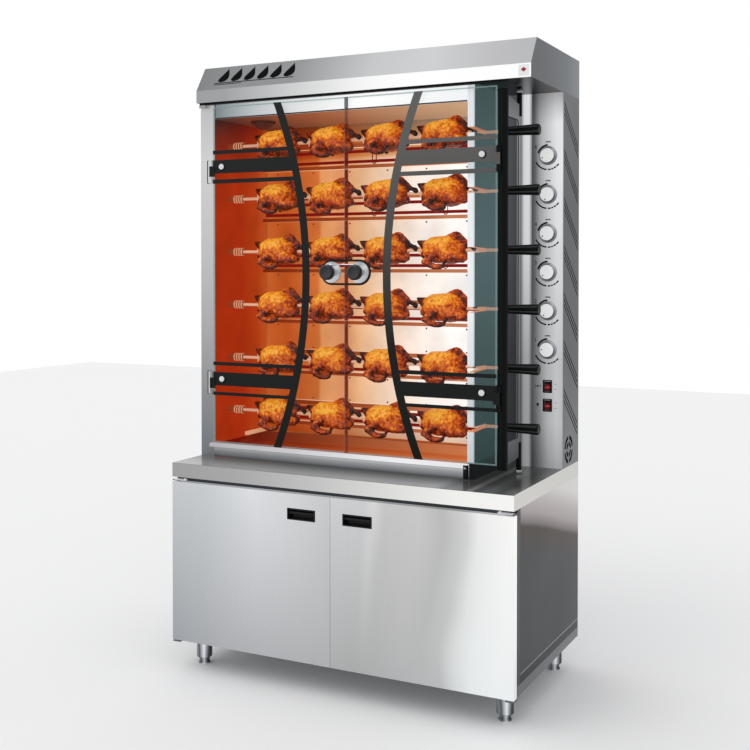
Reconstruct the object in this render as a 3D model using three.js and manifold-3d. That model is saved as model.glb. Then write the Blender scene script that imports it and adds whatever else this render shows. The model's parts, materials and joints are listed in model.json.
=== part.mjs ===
// A floor-standing gas rotisserie oven: six spits behind two glass doors, a control tower on the
// right, and a two-door cabinet below. Millimetres, +Z up, and the front faces -Y.
// The origin is on the floor, under the middle of the oven.
import * as THREE from 'three';
import { mergeVertices } from 'three/addons/utils/BufferGeometryUtils.js';
import Module from 'manifold-3d';

const wasm = await Module();
wasm.setup();

// ---------------------------------------------------------------- driving dimensions

const WIDTH = 1200;
const DEPTH = 640;
const HEIGHT = 2030;
const RIGHT = WIDTH / 2;
const LEFT = -RIGHT;
const FRONT = -DEPTH / 2;
const BACK = DEPTH / 2;

const GAP = 0.3; // between pieces that touch
const SHEET = 2; // folded steel sheet
const OVERSHOOT = 1; // how far a cutting tool runs past a face

// Heights of the cabinet.
const CABINET_BOTTOM = 100;
const CABINET_FLOOR = 130;
const DOOR_BOTTOM = 98;
const DOOR_TOP = 628;
const CABINET_TOP = 643;
const WORKTOP = 690;

// Heights of the oven.
const OVEN_BOTTOM = WORKTOP + GAP;
const TRAY_TOP = 738;
const CEILING = 1849;
const HOOD_BOTTOM = 1904;
const HOOD_BREAK = 1946;
const OVEN_TOP = HOOD_BOTTOM - GAP;

// Planes across the oven, from left to right.
const CAVITY_LEFT = -541;
const DOOR_MEETING = -27;
const CAVITY_RIGHT = 389;
const WALL_RIGHT = 413;
const GLASS_RIGHT = 488;
const PANEL_LEFT = 494;
const FRAME_X = 500;

// Planes from front to back.
const HOOD_FRONT = FRONT + 141;
const GLASS_FRONT = FRONT + 155;
const OVEN_FRONT = FRONT + 167;
const SPIT_Y = FRONT + 255;
const TOWER_FRONT = FRONT + 464;
const HEAT_WALL = FRONT + 498;

// The row of spits.
const SPITS = 6;
const LOWEST_SPIT = 845;
const SPIT_PITCH = 550 / 3;
const spitHeight = (row) => LOWEST_SPIT + SPIT_PITCH * row;
const MOTOR_Z = spitHeight(SPITS);

// ---------------------------------------------------------------- shapes

/** A box between two values on each axis. */
function block([x0, x1], [y0, y1], [z0, z1]) {
  const box = new THREE.BoxGeometry(x1 - x0, y1 - y0, z1 - z0);
  return box.translate((x0 + x1) / 2, (y0 + y1) / 2, (z0 + z1) / 2);
}

/** Turns a geometry that stands along Y so that it lies along the named axis. */
function layAlong(geometry, axis) {
  if (axis === 'x') return geometry.rotateZ(-Math.PI / 2);
  if (axis === 'z') return geometry.rotateX(Math.PI / 2);
  if (axis === '-y') return geometry.rotateX(Math.PI);
  return geometry;
}

/** A round bar from one value to another on an axis, centred on the other two values of `centre`. */
function bar(axis, radius, [from, to], centre, sides = 16) {
  const cylinder = layAlong(new THREE.CylinderGeometry(radius, radius, to - from, sides), axis);
  const place = new THREE.Vector3(...centre);
  place[axis] = (from + to) / 2;
  return cylinder.translate(place.x, place.y, place.z);
}

/** A turned piece: [radius, distance along the axis] points, turned about the axis through `centre`. */
function turned(axis, profile, centre, sides = 16) {
  const points = profile.map(([radius, along]) => new THREE.Vector2(radius, along));
  const lathe = layAlong(new THREE.LatheGeometry(points, sides), axis);
  return lathe.translate(...centre);
}

/** An outline of [y, z] points, or a Shape in y and z, extruded from x0 to x1. */
function alongX(outline, [x0, x1], curveSegments = 6) {
  const shape = Array.isArray(outline) ? polygon(outline) : outline;
  const solid = new THREE.ExtrudeGeometry(shape, { depth: x1 - x0, bevelEnabled: false, curveSegments });
  const axes = new THREE.Matrix4().makeBasis(
    new THREE.Vector3(0, 1, 0),
    new THREE.Vector3(0, 0, 1),
    new THREE.Vector3(1, 0, 0),
  );
  return solid.applyMatrix4(axes).translate(x0, 0, 0);
}

/** A Shape in x and z, extruded from y1 towards the front, to y0. */
function alongY(shape, [y0, y1], curveSegments = 6) {
  const solid = new THREE.ExtrudeGeometry(shape, { depth: y1 - y0, bevelEnabled: false, curveSegments });
  const axes = new THREE.Matrix4().makeBasis(
    new THREE.Vector3(1, 0, 0),
    new THREE.Vector3(0, 0, 1),
    new THREE.Vector3(0, -1, 0),
  );
  return solid.applyMatrix4(axes).translate(0, y1, 0);
}

/** An outline of [x, y] points extruded upwards from z0 to z1. */
function alongZ(outline, [z0, z1]) {
  const solid = new THREE.ExtrudeGeometry(polygon(outline), { depth: z1 - z0, bevelEnabled: false });
  return solid.translate(0, 0, z0);
}

function polygon(points) {
  return new THREE.Shape(points.map(([u, v]) => new THREE.Vector2(u, v)));
}

// ---------------------------------------------------------------- joining and cutting

const GRID = 1000; // vertices sit on a grid of thousandths, so that faces on one plane agree exactly

/** A closed geometry as a manifold-3d solid. */
function solidOf(geometry) {
  if (!geometry.isBufferGeometry) return geometry;
  const bare = geometry.clone();
  bare.deleteAttribute('normal');
  bare.deleteAttribute('uv');
  const place = bare.getAttribute('position');
  place.array.forEach((value, index) => {
    place.array[index] = Math.round(value * GRID) / GRID;
  });
  const merged = mergeVertices(bare, 1e-4);
  return new wasm.Manifold(
    new wasm.Mesh({
      numProp: 3,
      vertProperties: merged.attributes.position.array,
      triVerts: new Uint32Array(merged.index.array),
    }),
  );
}

const join = (...pieces) => pieces.map(solidOf).reduce((all, piece) => all.add(piece));
const cut = (base, ...tools) => tools.map(solidOf).reduce((rest, tool) => rest.subtract(tool), solidOf(base));

/** A geometry, or a manifold-3d solid, as a flat-shaded geometry. */
function geometryOf(shape) {
  if (shape.isBufferGeometry) return shape;
  const mesh = shape.getMesh();
  const geometry = new THREE.BufferGeometry();
  geometry.setAttribute('position', new THREE.BufferAttribute(new Float32Array(mesh.vertProperties), 3));
  geometry.setIndex(new THREE.BufferAttribute(new Uint32Array(mesh.triVerts), 1));
  const flat = geometry.toNonIndexed();
  flat.computeVertexNormals();
  return flat;
}

// ---------------------------------------------------------------- materials

const finish = (color, roughness, metalness) => () =>
  new THREE.MeshStandardMaterial({ color, roughness, metalness });

const brushedSteel = finish(0xb9bcbe, 0.38, 0.9);
const darkSteel = finish(0x6b6d70, 0.42, 0.9);
const chrome = finish(0xe4e6e8, 0.12, 1);
const enamelledWall = finish(0xc8652c, 0.5, 0.4);
const hotSteel = finish(0x8e1a0c, 0.55, 0.5);
const blackPaint = finish(0x17181a, 0.35, 0.2);
const blackPlastic = finish(0x111213, 0.4, 0);
const knobPlastic = finish(0xe9eaec, 0.3, 0.1);
const redPlastic = finish(0xc0201c, 0.35, 0);
const castSteel = finish(0x55585b, 0.6, 0.6);
const doorGlass = () =>
  new THREE.MeshStandardMaterial({ color: 0xa8c4c4, roughness: 0.05, metalness: 0, transparent: true, opacity: 0.3 });
const lampGlass = finish(0xd8d4c4, 0.2, 0);

const oven = new THREE.Group();

/** Adds one named piece to the oven. */
function add(name, shape, material) {
  const mesh = new THREE.Mesh(geometryOf(shape), material());
  mesh.name = name;
  oven.add(mesh);
}

// ---------------------------------------------------------------- cabinet

const LEG_X = 539;
const LEG_ROWS = { front: FRONT + 96, rear: FRONT + 570 };
const LEG_RADIUS = 26;
const FOOT_TOP = 23;
const STEM_RADIUS = 8;
const STEM_CLEARANCE = 0.8;
const STEM_TOP = 62;

const DOOR_THICKNESS = 25;
const CARCASS_FRONT = FRONT + 30;
const POST = 25;
const RAIL = 28;
const LUG = { reach: 28, thick: 4 };

const mirrored = (side, [inner, outer]) => (side < 0 ? [-outer, -inner] : [inner, outer]);

/** A pivot lug that stands forward of the carcass, just past a door's top or bottom corner. */
function pivotLug(side, z) {
  return block(mirrored(side, [RIGHT - LUG.reach, RIGHT]), [FRONT + 2, CARCASS_FRONT + SHEET], [z, z + LUG.thick]);
}

function cabinetBase() {
  const outer = block([LEFT, RIGHT], [CARCASS_FRONT, BACK], [CABINET_BOTTOM, CABINET_FLOOR]);
  const hollow = block(
    [LEFT + SHEET, RIGHT - SHEET],
    [CARCASS_FRONT + SHEET, BACK - SHEET],
    [CABINET_BOTTOM - OVERSHOOT, CABINET_FLOOR - SHEET],
  );
  const places = [LEFT, RIGHT].flatMap((side) =>
    Object.values(LEG_ROWS).map((y) => [Math.sign(side) * LEG_X, y, 0]),
  );
  const legs = places.map((place) => bar('z', LEG_RADIUS, [FOOT_TOP, CABINET_FLOOR - SHEET / 2], place));
  const bores = places.map((place) =>
    bar('z', STEM_RADIUS + STEM_CLEARANCE, [FOOT_TOP - OVERSHOOT, STEM_TOP + 20], place, 12),
  );
  const lugZ = DOOR_BOTTOM - LUG.thick - 3;
  const lugs = [-1, 1].flatMap((side) => [
    pivotLug(side, lugZ),
    block(
      mirrored(side, [RIGHT - LUG.reach, RIGHT]),
      [CARCASS_FRONT, CARCASS_FRONT + SHEET],
      [lugZ, CABINET_BOTTOM + SHEET],
    ),
  ]);
  return cut(join(cut(outer, hollow), ...legs, ...lugs), ...bores);
}

function cabinetFrame() {
  const depth = [CARCASS_FRONT, CARCASS_FRONT + POST];
  const bottom = CABINET_FLOOR + GAP;
  const posts = [-1, 1].map((side) => block(mirrored(side, [RIGHT - POST, RIGHT]), depth, [bottom, CABINET_TOP]));
  const rail = block([LEFT, RIGHT], depth, [CABINET_TOP - RAIL, CABINET_TOP]);
  const lugs = [-1, 1].map((side) => pivotLug(side, DOOR_TOP + 3));
  return join(...posts, rail, ...lugs);
}

/** The sheet that wraps round the cabinet's two sides and back. */
function cabinetShell() {
  const front = CARCASS_FRONT + POST + GAP;
  const outline = [
    [LEFT, front],
    [LEFT + SHEET, front],
    [LEFT + SHEET, BACK - SHEET],
    [RIGHT - SHEET, BACK - SHEET],
    [RIGHT - SHEET, front],
    [RIGHT, front],
    [RIGHT, BACK],
    [LEFT, BACK],
  ];
  return alongZ(outline, [CABINET_FLOOR + GAP, CABINET_TOP]);
}

function worktop() {
  const slab = block([LEFT, RIGHT], [FRONT, BACK], [CABINET_TOP + GAP, WORKTOP]);
  const hollow = block(
    [LEFT + SHEET, RIGHT - SHEET],
    [FRONT + SHEET, BACK - SHEET],
    [CABINET_TOP - OVERSHOOT, WORKTOP - SHEET],
  );
  return cut(slab, hollow);
}

/** A levelling foot: a pad, a hexagonal-sized collar and the threaded stem inside the leg. */
function foot(x, y) {
  const pad = 20;
  const collar = 13;
  const profile = [
    [0, 0],
    [pad, 0],
    [pad, 6],
    [collar, 10],
    [collar, FOOT_TOP - GAP],
    [STEM_RADIUS, FOOT_TOP - GAP],
    [STEM_RADIUS, STEM_TOP],
    [0, STEM_TOP],
  ];
  return turned('z', profile, [x, y, 0], 12);
}

const PULL = { width: 102, bottom: 545, top: 582, depth: 20, wall: 3 };
const DOORS = {
  left: { x: [LEFT, -1.5], pullLeft: -155 },
  right: { x: [1.5, RIGHT], pullLeft: 43 },
};

function cabinetDoor({ x, pullLeft }) {
  const outer = block(x, [FRONT, FRONT + DOOR_THICKNESS], [DOOR_BOTTOM, DOOR_TOP]);
  const hollow = block(
    [x[0] + SHEET, x[1] - SHEET],
    [FRONT + SHEET, FRONT + DOOR_THICKNESS + OVERSHOOT],
    [DOOR_BOTTOM + SHEET, DOOR_TOP - SHEET],
  );
  const pullHole = block(
    [pullLeft, pullLeft + PULL.width],
    [FRONT - OVERSHOOT, FRONT + SHEET + OVERSHOOT],
    [PULL.bottom, PULL.top],
  );
  return cut(outer, hollow, pullHole);
}

/** A recessed cup that fingers hook into. */
function recessedPull({ pullLeft }) {
  const x = [pullLeft + GAP, pullLeft + PULL.width - GAP];
  const z = [PULL.bottom + GAP, PULL.top - GAP];
  const hollow = block(
    [x[0] + PULL.wall, x[1] - PULL.wall],
    [FRONT - OVERSHOOT, FRONT + PULL.depth - PULL.wall],
    [z[0] + PULL.wall, z[1] - PULL.wall],
  );
  return cut(block(x, [FRONT, FRONT + PULL.depth], z), hollow);
}

// ---------------------------------------------------------------- oven walls

const OVEN_HEIGHT = [OVEN_BOTTOM, OVEN_TOP];
const REAR = BACK - SHEET - GAP;
const BEARING_HOLE = 11.5;
const ROD_HOLE = 9;
const SPIT_SLOT = { mouth: 9, throat: 6 }; // half heights
const BURNER_Y = FRONT + 484;
const BURNER_DROPS = [12, 48];
const BURNER_SLOT = { y: [BURNER_Y - 8, BURNER_Y + 8], drop: [4, 56] };

// Door hinges: where their axes stand, and the heights of their knuckles.
const LEFT_HINGE = [-548, FRONT + 152];
const RIGHT_HINGE = [495, FRONT + 148];
const KNUCKLE = 6;
const HINGES = [
  { bottom: 1629, top: 1708 },
  { bottom: 905, top: 985 },
];
const KNUCKLE_SHARE = 0.27;

/** The outer thirds of a hinge belong to the fixed side, and the middle to the door. */
function knuckleHeights({ bottom, top }) {
  const length = (top - bottom) * KNUCKLE_SHARE;
  return {
    fixed: [
      [bottom, bottom + length],
      [top - length, top],
    ],
    door: [bottom + length + 0.5, top - length - 0.5],
  };
}

/** Fixed knuckles on webs that run back from the hinge axis. */
function fixedKnuckles([x, y], webDepth) {
  return HINGES.flatMap((hinge) =>
    knuckleHeights(hinge).fixed.flatMap((z) => [
      bar('z', KNUCKLE, z, [x, y, 0], 8),
      block([x - KNUCKLE, x + KNUCKLE], [y, y + webDepth], z),
    ]),
  );
}

function leftCasing() {
  const side = block([LEFT, LEFT + SHEET], [OVEN_FRONT, REAR], OVEN_HEIGHT);
  const front = block([LEFT, CAVITY_LEFT - 3 - GAP], [OVEN_FRONT, OVEN_FRONT + SHEET], OVEN_HEIGHT);
  const leaves = HINGES.map(({ bottom, top }) =>
    block([-570, -543.5], [OVEN_FRONT - 5, OVEN_FRONT + SHEET / 2], [bottom, top]),
  );
  return join(side, front, ...leaves, ...fixedKnuckles(LEFT_HINGE, 11));
}

function leftWall() {
  const plate = block([CAVITY_LEFT - 3, CAVITY_LEFT], [OVEN_FRONT + SHEET + GAP, REAR], OVEN_HEIGHT);
  const across = [CAVITY_LEFT - 3 - OVERSHOOT, CAVITY_LEFT + OVERSHOOT];
  const holes = rows((z) => bar('x', BEARING_HOLE, across, [0, SPIT_Y, z], 12));
  return cut(plate, ...holes);
}

/** One result for each spit row, from the lowest up. */
function rows(make) {
  return Array.from({ length: SPITS }, (_, row) => make(spitHeight(row), row));
}

/** The way from the oven's front edge to a spit's bearing hole, narrowing as it runs back. */
function spitSlot(z, across) {
  const outline = [
    [OVEN_FRONT - OVERSHOOT, z - SPIT_SLOT.mouth],
    [SPIT_Y, z - SPIT_SLOT.throat],
    [SPIT_Y, z + SPIT_SLOT.throat],
    [OVEN_FRONT - OVERSHOOT, z + SPIT_SLOT.mouth],
  ];
  return alongX(outline, across);
}

/** A folded hollow panel, open at the back, that the spits lie in and the burner tubes pass through. */
function rightWall() {
  const outer = block([CAVITY_RIGHT, WALL_RIGHT], [OVEN_FRONT, REAR], OVEN_HEIGHT);
  const hollow = block(
    [CAVITY_RIGHT + SHEET, WALL_RIGHT - SHEET],
    [OVEN_FRONT + SHEET, REAR + OVERSHOOT],
    [OVEN_BOTTOM - OVERSHOOT, OVEN_TOP + OVERSHOOT],
  );
  const across = [CAVITY_RIGHT - OVERSHOOT, WALL_RIGHT + OVERSHOOT];
  const rodHoles = rows((z) => bar('x', ROD_HOLE, across, [0, SPIT_Y, z], 10));
  const spitSlots = rows((z) => spitSlot(z, across));
  const tubeSlots = rows((z) => block(across, BURNER_SLOT.y, [z - BURNER_SLOT.drop[1], z - BURNER_SLOT.drop[0]]));
  return cut(outer, hollow, ...rodHoles, ...spitSlots, ...tubeSlots);
}

/** The back wall of the cavity, with a ledge above and below each burner. */
function heatWall() {
  const x = [CAVITY_LEFT + GAP, CAVITY_RIGHT - GAP];
  const ledgeDepth = [HEAT_WALL - 25, HEAT_WALL + SHEET / 2];
  const plate = block(x, [HEAT_WALL, HEAT_WALL + SHEET], [TRAY_TOP + 4, CEILING - GAP]);
  const ledges = rows((z) => [block(x, ledgeDepth, [z + 2, z + 16]), block(x, ledgeDepth, [z - 72, z - 60])]);
  return join(plate, ...ledges.flat());
}

function ceiling() {
  const x = [CAVITY_LEFT + GAP, CAVITY_RIGHT - GAP];
  const front = OVEN_FRONT + SHEET + GAP;
  const plate = block(x, [front, HEAT_WALL + SHEET], [CEILING, CEILING + SHEET]);
  const header = block(x, [front, front + SHEET], [CEILING, OVEN_TOP]);
  return join(plate, header);
}

function rearCover() {
  const plate = block([LEFT, RIGHT], [BACK - SHEET, BACK], OVEN_HEIGHT);
  const slots = [800, 1780].flatMap((z) =>
    Array.from({ length: 4 }, (_, slot) => {
      const x = -360 + slot * 240;
      return block([x - 80, x + 80], [BACK - SHEET - OVERSHOOT, BACK + OVERSHOOT], [z, z + 10]);
    }),
  );
  return cut(plate, ...slots);
}

// ---------------------------------------------------------------- control tower

const KNOB_X = 549;
const TOP_KNOB = 1702;
const KNOB_PITCH = 125.4;
const knobHeight = (row) => TOP_KNOB - KNOB_PITCH * row;
const ROCKER_ROWS = [954, 893];
const ROCKER = { halfWidth: 10, halfHeight: 15, pivot: TOWER_FRONT + 4, rest: THREE.MathUtils.degToRad(12) };

const LOUVRE = { groups: 7, top: 1876, pitch: 154, slots: 3, spacing: 18, height: 7, drop: 128 };
const FAN = { y: FRONT + 530, z: 745, radii: [46, 26], slot: 13 };

/** Slanted cuts for one group of louvres in the tower's side. */
function louvreGroup(top) {
  const y0 = TOWER_FRONT + 10;
  const y1 = REAR - 12;
  return Array.from({ length: LOUVRE.slots }, (_, slot) => {
    const z = top - slot * LOUVRE.spacing;
    const outline = [
      [y0, z - LOUVRE.height],
      [y1, z - LOUVRE.drop - LOUVRE.height],
      [y1, z - LOUVRE.drop],
      [y0, z],
    ];
    return alongX(outline, [RIGHT - SHEET - OVERSHOOT, RIGHT + OVERSHOOT]);
  });
}

/** Ring-shaped cuts of the fan grille, each interrupted by four spokes. */
function fanGrille() {
  const across = [RIGHT - SHEET - OVERSHOOT, RIGHT + OVERSHOOT];
  const spoke = THREE.MathUtils.degToRad(9);
  return FAN.radii.flatMap((outer) =>
    [0, 1, 2, 3].map((quarter) => {
      const from = (quarter * Math.PI) / 2 + spoke;
      const to = ((quarter + 1) * Math.PI) / 2 - spoke;
      const sector = new THREE.Shape();
      sector.absarc(FAN.y, FAN.z, outer, from, to, false);
      sector.absarc(FAN.y, FAN.z, outer - FAN.slot, to, from, true);
      return alongX(sector, across, 4);
    }),
  );
}

/** The tower's folded front and side sheet. */
function towerCasing() {
  const front = block([PANEL_LEFT + GAP, RIGHT], [TOWER_FRONT, TOWER_FRONT + SHEET], OVEN_HEIGHT);
  const side = block([RIGHT - SHEET, RIGHT], [TOWER_FRONT, REAR], OVEN_HEIGHT);
  const through = [TOWER_FRONT - OVERSHOOT, TOWER_FRONT + SHEET + OVERSHOOT];
  const shaftHoles = rows((_, row) => bar('y', 5.5, through, [KNOB_X, 0, knobHeight(row)], 10));
  const rockerHoles = ROCKER_ROWS.map((z) =>
    block([KNOB_X - ROCKER.halfWidth - 1, KNOB_X + ROCKER.halfWidth + 1], through, [z - 18, z + 18]),
  );
  const louvres = Array.from({ length: LOUVRE.groups }, (_, group) => louvreGroup(LOUVRE.top - LOUVRE.pitch * group));
  return cut(join(front, side), ...shaftHoles, ...rockerHoles, ...louvres.flat(), ...fanGrille());
}

function towerStrip() {
  return block([WALL_RIGHT + GAP, PANEL_LEFT], [TOWER_FRONT, TOWER_FRONT + SHEET], OVEN_HEIGHT);
}

/** A gas control knob: the shaft behind the panel, a skirt and the grip. */
function controlKnob(z) {
  const profile = [
    [0, -22],
    [4, -22],
    [4, GAP],
    [31, GAP],
    [31, 4],
    [24.5, 6],
    [24, 14],
    [0, 14],
  ];
  return turned('-y', profile, [KNOB_X, TOWER_FRONT, z], 14);
}

/** A rocker switch, tilted to its off position about its pivot. */
function rocker(z) {
  const outline = [
    [-7, -ROCKER.halfHeight],
    [7, -ROCKER.halfHeight + 5],
    [7, ROCKER.halfHeight - 5],
    [-7, ROCKER.halfHeight],
    [-3.5, 0],
  ];
  const solid = alongX(outline, [-ROCKER.halfWidth, ROCKER.halfWidth]);
  return solid.rotateX(-ROCKER.rest).translate(KNOB_X, ROCKER.pivot, z);
}

// ---------------------------------------------------------------- hood, lamp and burners

const HOOD_SLOPE_TOP = FRONT + 194;

function hood() {
  const outer = [
    [HOOD_FRONT, HOOD_BOTTOM],
    [BACK, HOOD_BOTTOM],
    [BACK, HEIGHT],
    [HOOD_SLOPE_TOP, HEIGHT],
    [HOOD_FRONT, HOOD_BREAK],
  ];
  const inner = [
    [HOOD_FRONT + SHEET, HOOD_BOTTOM + SHEET],
    [BACK - SHEET, HOOD_BOTTOM + SHEET],
    [BACK - SHEET, HEIGHT - SHEET],
    [HOOD_SLOPE_TOP + SHEET / 2, HEIGHT - SHEET],
    [HOOD_FRONT + SHEET, HOOD_BREAK - SHEET / 2],
  ];
  const chainSlot = block(
    [LEFT + SHEET, CAVITY_LEFT - 4],
    [SPIT_Y - 60, SPIT_Y + 60],
    [HOOD_BOTTOM - OVERSHOOT, HOOD_BOTTOM + SHEET + OVERSHOOT],
  );
  const exhausts = Array.from({ length: 8 }, (_, slot) => {
    const x = -350 + slot * 100;
    return block([x - 8, x + 8], [BACK - 140, BACK - 50], [HEIGHT - SHEET - OVERSHOOT, HEIGHT + OVERSHOOT]);
  });
  const shell = cut(alongX(outer, [LEFT, RIGHT]), alongX(inner, [LEFT + SHEET, RIGHT - SHEET]));
  return cut(shell, chainSlot, ...exhausts);
}

function ovenLamp() {
  const profile = [
    [0, -30],
    [22, -27],
    [38, -15],
    [44, 0],
    [0, 0],
  ];
  return turned('z', profile, [-430, FRONT + 300, CEILING - GAP], 16);
}

/** Burner tubes in pairs, the gas rail in the tower that feeds them, and a valve behind each knob. */
function burnerBank() {
  const railX = 450;
  const railY = FRONT + 490;
  const tubeLeft = CAVITY_LEFT + 12;
  const tube = 5.5;
  const lowest = spitHeight(0) - BURNER_DROPS[1];
  const rail = bar('z', 13, [lowest - 20, TOP_KNOB + 100], [railX, railY, 0], 10);
  const tubes = rows((z) => [
    ...BURNER_DROPS.map((drop) => bar('x', tube, [tubeLeft, railX], [0, BURNER_Y, z - drop], 8)),
    bar('z', tube, [z - BURNER_DROPS[1] - tube, z - BURNER_DROPS[0] + tube], [tubeLeft, BURNER_Y, 0], 8),
  ]);
  const valves = rows((_, row) => {
    const z = knobHeight(row);
    return [
      bar('x', 6, [railX, KNOB_X], [0, FRONT + 505, z], 6),
      block([KNOB_X - 18, KNOB_X + 18], [FRONT + 488, FRONT + 520], [z - 18, z + 18]),
    ];
  });
  return join(rail, ...tubes.flat(), ...valves.flat());
}

// ---------------------------------------------------------------- drive

const TEETH = 9;
const SPROCKET_TIP = 30;
const SPROCKET_ROOT = 25;
const SPROCKET_X = [-574, -566];
const CHAIN = { inner: 31.5, outer: 37, x: [-573, -567] };

/** A toothed wheel in the drive plane. */
function sprocket(z) {
  const step = (2 * Math.PI) / TEETH;
  const points = [];
  for (let tooth = 0; tooth < TEETH; tooth += 1) {
    const corners = [
      [SPROCKET_TIP, -0.16],
      [SPROCKET_TIP, 0.16],
      [SPROCKET_ROOT, 0.34],
      [SPROCKET_ROOT, 0.66],
    ];
    for (const [radius, share] of corners) {
      const angle = (tooth + share) * step;
      points.push([SPIT_Y + radius * Math.cos(angle), z + radius * Math.sin(angle)]);
    }
  }
  return alongX(points, SPROCKET_X);
}

/** A spit driver: sprocket and shaft in the casing, and the socket that holds the spit's end. */
function spitDriver(z) {
  const profile = [
    [0, -590],
    [10, -590],
    [10, -517],
    [13, -517],
    [13, -483],
    [6.5, -483],
    [6.5, -504],
    [0, -504],
  ];
  return join(turned('x', profile, [0, SPIT_Y, z], 12), sprocket(z));
}

/** A closed loop of chain round all the sprockets, from the lowest spit up to the motor. */
function driveChain() {
  const loop = (radius) => {
    const path = new THREE.Shape();
    path.absarc(SPIT_Y, LOWEST_SPIT, radius, Math.PI, 2 * Math.PI, false);
    path.absarc(SPIT_Y, MOTOR_Z, radius, 0, Math.PI, false);
    path.closePath();
    return path;
  };
  return cut(alongX(loop(CHAIN.outer), CHAIN.x, 10), alongX(loop(CHAIN.inner), [CHAIN.x[0] - 1, CHAIN.x[1] + 1], 10));
}

function gearMotor() {
  const gearbox = block([-540, -496], [SPIT_Y - 38, SPIT_Y + 38], [HOOD_BOTTOM + SHEET + GAP, MOTOR_Z + 38]);
  const motor = bar('x', 32, [-500, -390], [0, SPIT_Y, MOTOR_Z], 16);
  const bore = bar('x', 7.5, [-541, -515], [0, SPIT_Y, MOTOR_Z], 12);
  return cut(join(gearbox, motor), bore);
}

const motorSprocket = () => join(sprocket(MOTOR_Z), bar('x', 6.5, [-580, -518], [0, SPIT_Y, MOTOR_Z], 12));

// ---------------------------------------------------------------- spits

const ROD = 5;
const BIRDS = 4;
const FIRST_BIRD = -333;
const BIRD_PITCH = 205;
const HANDLE = { from: 490, to: 590, thin: 13.5, thick: 17.5 };

const FORK = { back: 92, length: 70, bridge: 8, spread: 13, prong: 5, thickness: 5 };

/** A flat two-pronged fork across the spit, its prongs pointing along it from x. */
function fork(x, z) {
  const { length, bridge, spread, prong, thickness } = FORK;
  const outline = [
    [x, z - spread],
    [x + length, z - spread],
    [x + length, z - spread + prong],
    [x + bridge, z - spread + prong],
    [x + bridge, z + spread - prong],
    [x + length, z + spread - prong],
    [x + length, z + spread],
    [x, z + spread],
  ];
  return alongY(polygon(outline), [SPIT_Y - thickness / 2, SPIT_Y + thickness / 2]);
}

/** A spit rod with a two-pronged fork for each bird. */
function spit(z) {
  const rod = bar('x', ROD, [-503, HANDLE.from - GAP], [0, SPIT_Y, z], 8);
  const forks = Array.from({ length: BIRDS }, (_, bird) => fork(FIRST_BIRD + bird * BIRD_PITCH - FORK.back, z));
  return join(rod, ...forks);
}

function spitHandle(z) {
  const profile = [
    [0, HANDLE.from],
    [HANDLE.thin, HANDLE.from],
    [HANDLE.thick, HANDLE.to - 7],
    [HANDLE.thick - 3, HANDLE.to],
    [0, HANDLE.to],
  ];
  return turned('x', profile, [0, SPIT_Y, z], 12);
}

// ---------------------------------------------------------------- drip drawer

const DRAWER_FRONT = OVEN_FRONT - 0.5;

function dripDrawer() {
  const bottom = 708;
  const x = [CAVITY_LEFT + 3, CAVITY_RIGHT - 3];
  const y = [DRAWER_FRONT - 1, HEAT_WALL - 8];
  const tray = block(x, y, [bottom, TRAY_TOP - SHEET]);
  const hollow = block(
    [x[0] + SHEET, x[1] - SHEET],
    [OVEN_FRONT + SHEET, y[1] - SHEET],
    [bottom + SHEET, TRAY_TOP + OVERSHOOT],
  );
  const lipBottom = TRAY_TOP - 12;
  const lip = block([-554, 395], [FRONT + 148, DRAWER_FRONT], [lipBottom, TRAY_TOP]);
  const band = block([CAVITY_LEFT, 395], [FRONT + 158, DRAWER_FRONT], [WORKTOP + 2, lipBottom + 1]);
  return cut(join(tray, lip, band), hollow);
}

// ---------------------------------------------------------------- glass doors

const GLASS = { thickness: 5, z: [741, 1889], meetingGap: 1.5 };
const STRAP_Y = [GLASS_FRONT - 1.5, GLASS_FRONT - GAP];
const ARC = { radius: 1545, halfWidth: 13.5, inset: 136, z: 1315 };
const STRAPS = [
  [1727, 1740],
  [1661, 1707],
  [1627, 1641],
  [1006, 1018],
  [937, 983],
  [904, 915],
];
const PULL_KNOB = { offset: 50, z: 1325 };

const GLASS_DOORS = {
  left: { side: -1, hingeEdge: CAVITY_LEFT, hinge: LEFT_HINGE },
  right: { side: 1, hingeEdge: GLASS_RIGHT, hinge: RIGHT_HINGE },
};

const inOrder = (a, b) => [Math.min(a, b), Math.max(a, b)];

function glassPane({ side, hingeEdge }) {
  const meeting = DOOR_MEETING + side * GLASS.meetingGap;
  return block(inOrder(hingeEdge, meeting), [GLASS_FRONT, GLASS_FRONT + GLASS.thickness], GLASS.z);
}

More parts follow.
